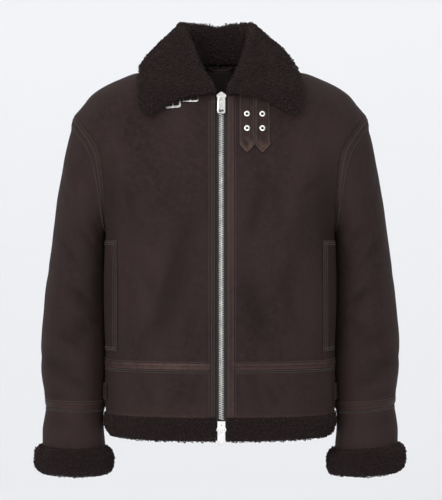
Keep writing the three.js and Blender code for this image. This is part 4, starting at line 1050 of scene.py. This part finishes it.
def hemWool():
    top = cloth["fleeceSeamZ"] - cloth["seamGap"] / 2
    down = spread(0, 42, rollGrid["deep"])
    heights = top - down
    sink = (curlSizes["sink"] * np.minimum(down / 6, 1))[:, None]
    for half in ("front", "back"):
        for side, label in sides if half == "front" else ((1, ""),):
            name = f"hem_fleece_{half}" + (f"_{label}" if label else "")
            columns = spread(0, 1, rollGrid["around"])
            if half == "back":
                columns = spread(-1, 1, rollGrid["backAround"])
            outer = torsoGrid(half, side, heights, columns, hemOut(down)[:, None] - sink)
            inner = torsoGrid(half, side, heights, columns, hemIn(down)[:, None] + sink)
            normals = unit(outer - inner)
            outer = lumpy(outer, normals, 1.5, 9, 2)
            piece = shellObject(name + "_body", outer, inner, [woolBase], sharp=False)
            settle(piece, name)
            declareSheet(outer)
            curlsOn(piece, name + "_curls", curlSizes["spacing"], 31 + side + len(half))


hemWool()
cuffOut, cuffIn = curveThrough(cuffRoll, "down", "out"), curveThrough(cuffRoll, "down", "inside")


def cuffWool():
    down = spread(0.4, 48, rollGrid["deep"])
    sink = (curlSizes["sink"] * np.minimum(down / 6, 1))[:, None]
    for side, label in sides:
        outer = sleeveGridOf(side, label, cuffEdge + down, cuffOut(down)[:, None] - sink)
        inner = sleeveGridOf(side, label, cuffEdge + down, cuffIn(down)[:, None] + sink)
        normals = unit(outer - inner)
        outer = lumpy(outer, normals, 1.5, 9, 5)
        outer[:, -1] = outer[:, 0]
        piece = shellObject(f"cuff_fleece_{label}_body", outer, inner, [woolBase], roundIt=True,
                            sharp=False)
        settle(piece, f"cuff_fleece_{label}")
        declareSheet(outer)
        curlsOn(piece, f"cuff_fleece_{label}_curls", curlSizes["spacing"], 41 + side)


cuffWool()
print("wool edges made")


# Collar: the stand rises from the neck seam, rolls over and falls as the leaf

def collarSection(at, across):
    def read(name):
        return collar[name](at)

    def joint(name):
        return point(read(name + "X"), read(name + "Y"), read(name + "Z"))

    facing = np.radians(read("faces"))
    out = point(np.cos(facing), np.sin(facing), 0)
    down = np.array([0, 0, -1.0])
    neck, roll, edge = joint("neck"), joint("roll"), joint("edge")
    radius = read("round")[..., None]
    standSide = roll - out * radius * 0.75 + down * radius
    leafSide = roll + out * radius * 0.9 + down * radius * 0.8
    standMiddle = (neck + standSide) / 2
    leafMiddle = (leafSide + edge) / 2 + out * collarSizes["fullness"]
    leafMiddle = leafMiddle - down * read("arch")[..., None]
    route = [neck, standMiddle, standSide, roll, leafSide, leafMiddle, edge]
    last = len(route) - 1
    segment = min(int(across * last), last - 1)
    t = across * last - segment
    before = route[segment - 1] if segment > 0 else 2 * route[0] - route[1]
    after = route[segment + 2] if segment < last - 1 else 2 * route[last] - route[last - 1]
    p1, p2 = route[segment], route[segment + 1]

    def reach(a, b):
        return np.linalg.norm(b - a, axis=-1, keepdims=True) ** 0.5

    d0, d1, d2 = reach(before, p1), reach(p1, p2), reach(p2, after)
    m1 = ((p1 - before) / d0 - (p2 - before) / (d0 + d1) + (p2 - p1) / d1) * d1
    m2 = ((p2 - p1) / d1 - (after - p1) / (d1 + d2) + (after - p2) / d2) * d1
    return (p1 * (2 * t ** 3 - 3 * t ** 2 + 1) + m1 * (t ** 3 - 2 * t ** 2 + t)
            + p2 * (3 * t ** 2 - 2 * t ** 3) + m2 * (t ** 3 - t ** 2))


def bodyUnderCollar():
    places, normals = [], []
    height, out = np.meshgrid(spread(-165, shoulderZ, 26), spread(0, 1, 26), indexing="ij")
    for half in ("front", "back"):
        places.append(bareTorso(half, 1, out, height).reshape(-1, 3))
        normals.append(torsoNormal(half, 1, out, height).reshape(-1, 3))
    return np.concatenate(places), np.concatenate(normals)


underPlaces, underNormals = bodyUnderCollar()


def collarPoint(place, across):
    at = np.abs(place)
    points = collarSection(at, across)
    offNeck = min(max((across - 0.15) / 0.3, 0), 1)
    high = np.clip((points[:, 2] + 45) / 45, 0.25, 1)
    narrowed = 1 - collarSizes["leftNarrow"] * offNeck * high
    points[:, 0] *= np.where(place < 0, 1, narrowed)
    leaf = min(max((across - collarSizes["leafStart"]) / 0.15, 0), 1)
    if leaf > 0:
        clearance = leaf * (collarSizes["leafClear"] + collar["over"](at))
        distance = np.linalg.norm(points[:, None] - underPlaces[None], axis=-1)
        nearest = distance.argmin(axis=1)
        normal = underNormals[nearest]
        away = ((points - underPlaces[nearest]) * normal).sum(axis=-1)
        points = points + normal * np.maximum(clearance - away, 0)[:, None]
    side = np.where(place < 0, -1.0, 1.0)
    lean = collarSizes["lean"] * np.clip((points[:, 2] - 35) / 45, 0, 1)
    points[:, 0] = side * points[:, 0] + zipSizes["x"] * at * at - lean
    return points


def collarGrid():
    places = spread(-1, 1, collarSizes["segments"])
    acrosses = spread(0, 1, collarSizes["rows"])
    side = np.where(places < 0, -1.0, 1.0)
    at = np.abs(places)
    step = 0.004
    outer, inner = [], []
    for across in acrosses:
        low, high = max(across - step, 0), min(across + step, 1)
        section = collarPoint(places, high) - collarPoint(places, low)
        further = collarPoint(side * np.minimum(at + step, 1), across)
        nearer = collarPoint(side * np.maximum(at - step, 0), across)
        normal = unit(np.cross(section, further - nearer)) * side[:, None]
        taper = np.minimum(min(1, 0.35 + 8 * across, 0.4 + 9 * (1 - across)),
                           0.5 + 14 * (1 - at))
        half = (collarSizes["half"] * taper - curlSizes["sink"] * np.minimum(taper, 0.8))[:, None]
        middle = collarPoint(places, across)
        outer.append(middle + normal * half)
        inner.append(middle - normal * half)
    return np.array(outer), np.array(inner)


collarOuter, collarInner = collarGrid()
collarBody = shellObject("collar_body", collarOuter, collarInner, [woolBase], sharp=False)
settle(collarBody, "collar")
declareSheet(collarOuter)
collarPlaces = kdtree.KDTree(collarOuter[..., 0].size * 2)
for i, place in enumerate(np.concatenate([collarInner, collarOuter]).reshape(-1, 3).tolist()):
    collarPlaces.insert(place, i)
collarPlaces.balance()


def woolShows(middles, normals):
    rows, columns = collarOuter.shape[:2]
    shown = []
    for middle in middles.tolist():
        row, column = divmod(collarPlaces.find(middle)[1], columns)
        nearEdge = row >= 2 * rows - 5 or min(column, columns - 1 - column) < 3
        shown.append(row < rows or nearEdge)
    return np.array(shown)


# Between leaf and stand, and under the leaf, no curls are seen
curlsOn(collarBody, "collar_curls", curlSizes["collarSpacing"], 51, woolShows)
print("collar made")

# Seam strips, welts, straps and tabs lie on the skin

def stripPiece(name, node, x, z, moved, thick, looks, wear=None):
    outer = onFront(x, z, moved)
    inner = onFront(x, z, moved - thick)
    piece = shellObject(name, outer, inner, looks, wear)
    settle(piece, node)
    declareSheet(outer)


edgeHeights = np.concatenate([[cloth["fleeceSeamZ"] + 1], spread(-612, -86, 110), [-70, -57]])
for side, label in sides:
    wide = zipSizes["stripLeft"] if label == "left" else zipSizes["stripRight"]
    share = np.array([0, 0.12, 0.35, 0.65, 0.88, 1.0])
    x = zipSizes["x"] + side * (zipSizes["edge"] + wide * share)
    x, z = np.meshgrid(x, edgeHeights)
    bulge = cloth["lift"] + zipSizes["stripWall"] * np.array([0.55, 0.95, 1.05, 1.05, 0.9, 0.45])
    wear = np.array([0.9, 0.6, 0.2, 0.15, 0.35, 0.7]) * (0.5 if label == "left" else 0.42)
    wear = wear[None, :] * np.ones(x.shape)
    stripPiece(f"front_edge_{label}_cloth", f"front_edge_{label}", x, z,
               bulge[None, :] * np.ones(x.shape), 1.2,
               [stripSkin if label == "right" else edgeTape], wear)
    tapeZ = np.concatenate([[-655, -645, -636, -631], spread(-614, -86, 90), [-72, -60]])
    parted = np.where(tapeZ < zipSizes["bottomHingeZ"] + 3, 2.2, 0.3)
    shares = np.array([0, 0.25, 0.5, 0.75, 1.0])
    outerX = zipSizes["edge"] - 0.3
    x = zipSizes["x"] + side * (parted[:, None] + (outerX - parted[:, None]) * shares[None, :])
    z = tapeZ[:, None] * np.ones(len(shares))
    stripPiece(f"zip_tape_{label}_cloth", f"zip_tape_{label}", x, z,
               -3.0 * np.ones(x.shape), 1.4, [wovenTape])


def frontFrame(x, z, moved=0.0):
    origin = onFront(x, z, moved)
    up = unit(onFront(x, z + 3, moved) - onFront(x, z - 3, moved))
    aside = onFront(x + 3, z, moved) - onFront(x - 3, z, moved)
    out = unit(np.cross(aside, up))
    return origin, np.cross(up, out), out, up


def boxTemplate(wide, deep, tall, bevel):
    mesh = bmesh.new()
    bmesh.ops.create_cube(mesh, size=1)
    bmesh.ops.scale(mesh, vec=(wide, deep, tall), verts=mesh.verts[:])
    bmesh.ops.bevel(mesh, geom=mesh.edges[:], offset=bevel, affect="EDGES", segments=1,
                    profile=0.5, material=-1)
    mesh.verts.index_update()
    points = np.array([vertex.co[:] for vertex in mesh.verts])
    faces = [[vertex.index for vertex in face.verts] for face in mesh.faces]
    mesh.free()
    return points, faces


def zipTeeth():
    pitch = zipSizes["pitch"]
    heights = np.arange(zipSizes["chainFrom"], zipSizes["chainTo"], pitch / 2)
    sign = np.where(np.arange(len(heights)) % 2 == 0, 1.0, -1.0)
    origin, aside, out, up = frontFrame(zipSizes["x"] + sign * zipSizes["toothAside"],
                                        heights)
    origin = origin - out * zipSizes["toothSunk"]
    wide = zipSizes["teethWidth"] / 2 + zipSizes["toothOverlap"]
    template = boxTemplate(wide, zipSizes["toothDeep"], pitch * zipSizes["toothShare"],
                           zipSizes["toothRound"])
    teeth = stamp("zip_teeth", template, (origin, aside, -out, up), [teethMetal])
    settle(teeth, "zip_chain")


zipTeeth()

weltSizes = {"bottomZ": -503, "topZ": -306, "inner": 0.685, "outer": 0.9, "wall": 3}
for side, label in sides:
    heights = spread(weltSizes["bottomZ"], weltSizes["topZ"], 60)
    outs = weltSizes["inner"] + (weltSizes["outer"] - weltSizes["inner"]) * np.concatenate(
        [[0, 0.03, 0.08], spread(0.16, 0.92, 9), [0.97, 1.0]])
    out, height = np.meshgrid(outs, heights)
    along = (height - weltSizes["bottomZ"]) / (weltSizes["topZ"] - weltSizes["bottomZ"])
    across = (out - weltSizes["inner"]) / (weltSizes["outer"] - weltSizes["inner"])
    bow = weltSizes["wall"] + 3 * np.sin(np.pi * along) * across
    rounded = 1.2 * (1 - smooth(0, 0.1, np.minimum(across, 1 - across)))
    rounded = rounded + 1.0 * (1 - smooth(0, 0.02, np.minimum(along, 1 - along)))
    outer = torsoPoint("front", side, out, height, bow - rounded)
    inner = torsoPoint("front", side, out, height, bow - weltSizes["wall"] + cloth["lift"])
    wear = 0.6 * (1 - smooth(0.02, 0.1, across)) + 0.5 * (1 - smooth(0.035, 0.05, 1 - along))
    wear = wear + 0.55 * (1 - smooth(0.03, 0.06, along)) + 0.4 * smooth(0.9, 0.97, across)
    wear = np.minimum(wear, 0.8)
    piece = shellObject(f"pocket_welt_{label}_cloth", outer, inner, [weltSkin], wear)
    settle(piece, f"pocket_welt_{label}")
    declareSheet(outer)

strapSizes = {"topZ": -48, "cornerZ": -141, "pointZ": -154.5, "wall": 2.4, "hole": 3.6,
              "rows": (-87.6, -113), "paintedShadowDisc": 3.3, "curl": 2.6, "cornerReach": 0.98}
straps = (("a", 33.6, 59.8), ("b", 60.5, 86.6))


def withHoles(piece, middle):
    origin, aside, out, up = frontFrame(np.array([middle] * 2), np.array(strapSizes["rows"]))
    mesh = bmesh.new()
    for i in range(2):
        turn = Matrix([aside[i], up[i], -out[i]]).transposed().to_4x4()
        turn.translation = Vector(origin[i] * perMetre)
        radius = strapSizes["hole"] * perMetre
        bmesh.ops.create_cone(mesh, cap_ends=True, segments=20, radius1=radius, radius2=radius,
                              depth=0.012, matrix=turn)
    tool = objectFrom(piece.name + "_tool", mesh, [])
    cutting = piece.modifiers.new("Holes", "BOOLEAN")
    cutting.object, cutting.operation, cutting.solver = tool, "DIFFERENCE", "EXACT"
    bpy.context.view_layer.update()
    evaluated = piece.evaluated_get(bpy.context.evaluated_depsgraph_get())
    data = bpy.data.meshes.new_from_object(evaluated)
    piece.modifiers.clear()
    piece.data = data
    bpy.data.objects.remove(tool)


for name, low, high in straps:
    middle = (low + high) / 2
    shares = np.concatenate([[0, 0.02, 0.06], spread(0.12, 0.88, 14), [0.94, 0.98, 1.0]])
    tall = np.concatenate([[0, 0.008, 0.03], spread(0.07, 0.95, 44), [1.0]])
    x = low + (high - low) * shares[None, :] * np.ones((len(tall), 1))
    fromMiddle = np.abs(shares - 0.5) * 2
    tip = strapSizes["pointZ"] + (strapSizes["cornerZ"] - strapSizes["pointZ"]) * (
        strapSizes["cornerReach"] * fromMiddle ** 1.15)
    z = tip[None, :] + (strapSizes["topZ"] - tip[None, :]) * tall[:, None]
    edgeDrop = 1 - smooth(0, 0.07, np.minimum(shares, 1 - shares))[None, :]
    endDrop = 1 - smooth(0, 0.03, tall)[:, None]
    turned = strapSizes["curl"] * (1 - smooth(0, 0.13, tall))[:, None]
    turned = turned * (0.45 + 0.55 * fromMiddle ** 2)[None, :]
    turned = turned + 0.5 * np.sin(z / 7 + low) * (1 - smooth(0, 0.3, tall))[:, None]
    turned = np.maximum(turned, 0)
    moved = cloth["lift"] + strapSizes["wall"] - 0.9 * np.maximum(edgeDrop, endDrop)
    wear = 0.5 * np.maximum(edgeDrop, endDrop) + 0.6 * (1 - smooth(0.02, 0.2, tall))[:, None]
    wear = np.clip(wear + 0.25 * np.sin(x / 3.1 + z / 5) * (z < -128) + 0.05, 0, 1)
    outer = onFront(x, z, moved + turned)
    inner = onFront(x, z, cloth["lift"] + turned)
    strap = shellObject(f"throat_strap_{name}_cloth", outer, inner, [strapSkin], wear)
    withHoles(strap, middle)
    settle(strap, f"throat_strap_{name}")
    declareSheet(outer)
    # Painted shadow: a dark disc under each eyelet hole stands in for the shade seen through it
    origin, aside, out, up = frontFrame(np.array([middle] * 2), np.array(strapSizes["rows"]),
                                        cloth["lift"])
    turn = np.linspace(0, 2 * np.pi, 20, endpoint=False)
    ring = strapSizes["paintedShadowDisc"] * point(np.cos(turn), 0.0, np.sin(turn))
    disc = np.concatenate([ring, ring + [0, 0.4, 0]])
    faces = [list(range(20)), list(range(39, 19, -1))]
    faces += [[k, 20 + k, 20 + (k + 1) % 20, (k + 1) % 20] for k in range(20)]
    paintedShadowDisc = stamp(f"strap_backing_{name}", (disc, faces), (origin, aside, out, up),
                    [holeShade])
    settle(paintedShadowDisc)

tabSizes = {"topZ": -562, "bottomZ": -591}
for side, label in sides:
    places = spread(-4, 4, 40)
    heights = spread(tabSizes["bottomZ"], tabSizes["topZ"], 12)
    place, height = np.meshgrid(places, heights)
    out = 1 - 0.035 * np.abs(place)
    stand = 0.7 * np.cos(place / 4 * np.pi / 2) + cloth["lift"]
    edge = 1 - smooth(0, 3, np.minimum(height - tabSizes["bottomZ"], tabSizes["topZ"] - height))
    grids = []
    for moved in (stand + strapSizes["wall"] - 0.8 * edge, stand):
        front = torsoPoint("front", side, out, height, moved)
        back = torsoPoint("back", side, out, height, moved)
        grids.append(np.where((place < 0)[..., None], front, back))
    piece = shellObject(f"side_tab_{label}_cloth", grids[0], grids[1], [strapSkin], 0.6 * edge)
    settle(piece, f"side_tab_{label}")
    declareSheet(grids[0])


loopSizes = {"half": 21, "middleY": 64.8, "endY": 67.8, "middleZ": 4, "rise": 6, "radius": 1.5}


def hangerLoop():
    t = np.linspace(-1, 1, 33)
    x = loopSizes["half"] * t
    y = loopSizes["middleY"] + (loopSizes["endY"] - loopSizes["middleY"]) * np.abs(t) ** 2.4
    z = loopSizes["middleZ"] + loopSizes["rise"] * np.abs(t) ** 3.2
    path = np.stack([x, y, z], axis=1)
    points, faces = tubeTemplate(path, np.full(33, loopSizes["radius"]), 10)
    identity = np.eye(3)
    frames = (np.zeros((1, 3)), identity[0:1], identity[1:2], identity[2:3])
    loop = stamp("hanger_loop_cord", (points, faces), frames, [strapSkin])
    settle(loop, "hanger_loop")


hangerLoop()
print("trim made")

# Metal parts keep their solids, with rounded edges

for name in ("slider_top", "slider_bottom", "pull_top", "pull_bottom", "eyelet_a1", "eyelet_a2",
             "eyelet_b1", "eyelet_b2", "throat_buckle_a", "throat_buckle_b"):
    part = nodes[name]
    part.data.materials.clear()
    part.data.materials.append(polished)
    weld = part.modifiers.new("Weld", "WELD")
    weld.merge_threshold = 0.00002
    bevel = part.modifiers.new("Bevel", "BEVEL")
    bevel.width, bevel.segments, bevel.limit_method = 0.0004, 2, "ANGLE"
    bevel.angle_limit = math.radians(40)
    bevel.harden_normals = False

# Stitches: short rounded runs of thread laid along lines

stitchSizes = {"step": 3.8, "long": 2.7, "wide": 0.55, "raise": 0.3}


def stitchTemplate():
    half = stitchSizes["long"] / 2
    path = [(-half, 0, -0.25), (-half * 0.75, 0, 0.12), (0, 0, 0.3), (half * 0.75, 0, 0.12),
            (half, 0, -0.25)]
    wide = stitchSizes["wide"]
    return tubeTemplate(path, np.array([0.5, 0.95, 1.1, 0.95, 0.5]) * wide)


def stitchRun(points, normals):
    step = stitchSizes["step"]
    lengths = np.linalg.norm(np.diff(points, axis=0), axis=1)
    at = np.concatenate([[0], np.cumsum(lengths)])
    places = np.arange(step / 2, at[-1], step)

    def read(values):
        return np.stack([np.interp(places, at, values[:, k]) for k in range(3)], axis=1)

    origin, normal = read(points), unit(read(normals))
    ahead = read(np.gradient(points, axis=0))
    forward = unit(ahead - normal * (ahead * normal).sum(axis=1, keepdims=True))
    return origin + normal * stitchSizes["raise"], forward, np.cross(normal, forward), normal


runs = []


def runOnTorso(half, side, out, height, moved):
    low = torsoPoint(half, side, out, height, moved)
    high = torsoPoint(half, side, out, height, moved + 1)
    runs.append(stitchRun(low, unit(high - low)))


def runOnFront(x, z, moved):
    low, high = onFront(x, z, moved), onFront(x, z, moved + 1)
    runs.append(stitchRun(low, unit(high - low)))


for side, label in sides:
    firstOut = zipEdgeOut(side, np.array([-530.0]), 13)[0]
    for offset in (tapeHalf + 2.2, tapeHalf + 5.6, -(tapeHalf + 2.2)):
        out = np.linspace(firstOut, 0.999, 160)
        height = np.full(160, cloth["bandSeamZ"] - offset)
        runOnTorso("front", side, out, height, 0.0)
        runOnTorso("back", side, np.linspace(0, 0.999, 160), height, 0.0)
    wide = zipSizes["stripLeft"] if label == "left" else zipSizes["stripRight"]
    for beyond, moved in ((wide + 2.4, 0.0), (wide - 2.2, 1.9), (2.0, 1.9)):
        x = np.full(240, zipSizes["x"] + side * (zipSizes["edge"] + beyond))
        runOnFront(x, np.linspace(-612, -64, 240), moved)
    span = weltSizes["outer"] - weltSizes["inner"]
    for share in (0.1, 0.2):
        out = np.full(120, weltSizes["inner"] + span * share)
        height = np.linspace(weltSizes["bottomZ"] + 3, weltSizes["topZ"] - 3, 120)
        along = (height - weltSizes["bottomZ"]) / (weltSizes["topZ"] - weltSizes["bottomZ"])
        runOnTorso("front", side, out, height,
                   weltSizes["wall"] + 3 * np.sin(np.pi * along) * share)
    for inset in (4, 8, 190, 194):
        out = np.linspace(weltSizes["inner"] + span * 0.08, weltSizes["outer"] - 0.01, 60)
        height = np.full(60, weltSizes["topZ"] - float(inset))
        along = (height - weltSizes["bottomZ"]) / (weltSizes["topZ"] - weltSizes["bottomZ"])
        across = (out - weltSizes["inner"]) / span
        runOnTorso("front", side, out, height,
                   weltSizes["wall"] + 3 * np.sin(np.pi * along) * across)
    for distance, raised in ((4.2, 1.3), (10.4, 1.15), (cuffSeam + tapeHalf + 2.2, 0.0),
                             (cuffSeam + tapeHalf + 5.4, 0.0), (cuffSeam - tapeHalf - 2.2, 0.0)):
        angle = np.linspace(-np.pi, np.pi, 220)
        along = slanted(label, angle, np.full(220, distance))
        low = sleevePoint(side, angle, along, raised)
        high = sleevePoint(side, angle, along, raised + 1)
        runs.append(stitchRun(low, unit(high - low)))
for name, low, high in straps:
    for x in (low + 2.3, high - 2.3):
        runOnFront(np.full(80, float(x)), np.linspace(-140, -50, 80),
                   cloth["lift"] + strapSizes["wall"])
joinedRuns = [np.concatenate(part) for part in zip(*runs)]
stitches = stamp("stitches", stitchTemplate(), joinedRuns, [threadLook])
settle(stitches)
print("stitches made", len(joinedRuns[0]))

# Stage and camera

stageLook = {"colour": (0.793, 0.800, 0.820), "glow": 0.25, "distance": 4.2, "floorZ": -1.05}


def stageSheet():
    profile = []
    far, floor = stageLook["distance"], stageLook["floorZ"]
    for k in range(17):
        turn = k / 16 * math.pi / 2
        profile.append((far - 1.6 + 1.6 * math.sin(turn), floor + 1.6 - 1.6 * math.cos(turn)))
    profile = [(-12.0, floor)] + profile + [(far, 9.0)]
    mesh = bmesh.new()
    bmesh.ops.create_grid(mesh, x_segments=1, y_segments=len(profile) - 1, size=1)
    mesh.verts.ensure_lookup_table()
    for i, vertex in enumerate(mesh.verts):
        y, z = profile[i // 2]
        vertex.co = (-14 if i % 2 == 0 else 14, y, z)
    for face in mesh.faces:
        face.smooth = True
    look, tree, shader = newLook("stage")
    setSockets(shader, {"Base Color": rgb(stageLook["colour"]), "Roughness": 0.95,
                        "Specular IOR Level": 0.1, "Emission Color": rgb(stageLook["colour"]),
                        "Emission Strength": stageLook["glow"]})
    made = objectFrom("stage", mesh, [look])


stageSheet()


def areaLight(name, place, target, size, power, colour=(1, 1, 1)):
    data = bpy.data.lights.new(name, "AREA")
    data.shape, data.size, data.size_y = "RECTANGLE", size[0], size[1]
    data.energy, data.color = power, colour
    made = bpy.data.objects.new(name, data)
    made.location = place
    made.rotation_euler = (Vector(target) - Vector(place)).to_track_quat("-Z", "Y").to_euler()
    collection.objects.link(made)


lights = {"world": 0.55}
areaLight("overhead", (0.0, -1.6, 2.6), (0, 0.1, -0.35), (3.2, 2.4), 34)
areaLight("frontLeft", (-1.9, -3.6, 1.2), (0, 0, -0.35), (1.8, 2.2), 74)
areaLight("front", (0.4, -4.4, 0.0), (0, 0, -0.35), (2.2, 2.2), 40)
world = bpy.data.worlds.new("world")
bpy.context.scene.world = world
world.use_nodes = True
world.node_tree.nodes["Background"].inputs["Color"].default_value = (1, 1, 1, 1)
world.node_tree.nodes["Background"].inputs["Strength"].default_value = lights["world"]

view = {"distance": 3.6, "height": -0.324, "x": 0.0015, "lens": 144.0, "sensor": 36.0}
cameraData = bpy.data.cameras.new("camera")
cameraData.sensor_fit = "VERTICAL"
cameraData.sensor_height = view["sensor"]
cameraData.lens = view["lens"]
cameraData.clip_end = 60
camera = bpy.data.objects.new("camera", cameraData)
camera.location = (view["x"], -view["distance"], view["height"])
camera.rotation_euler = (math.pi / 2, 0, 0)
collection.objects.link(camera)
bpy.context.scene.camera = camera
bpy.context.scene.view_settings.view_transform = "Standard"
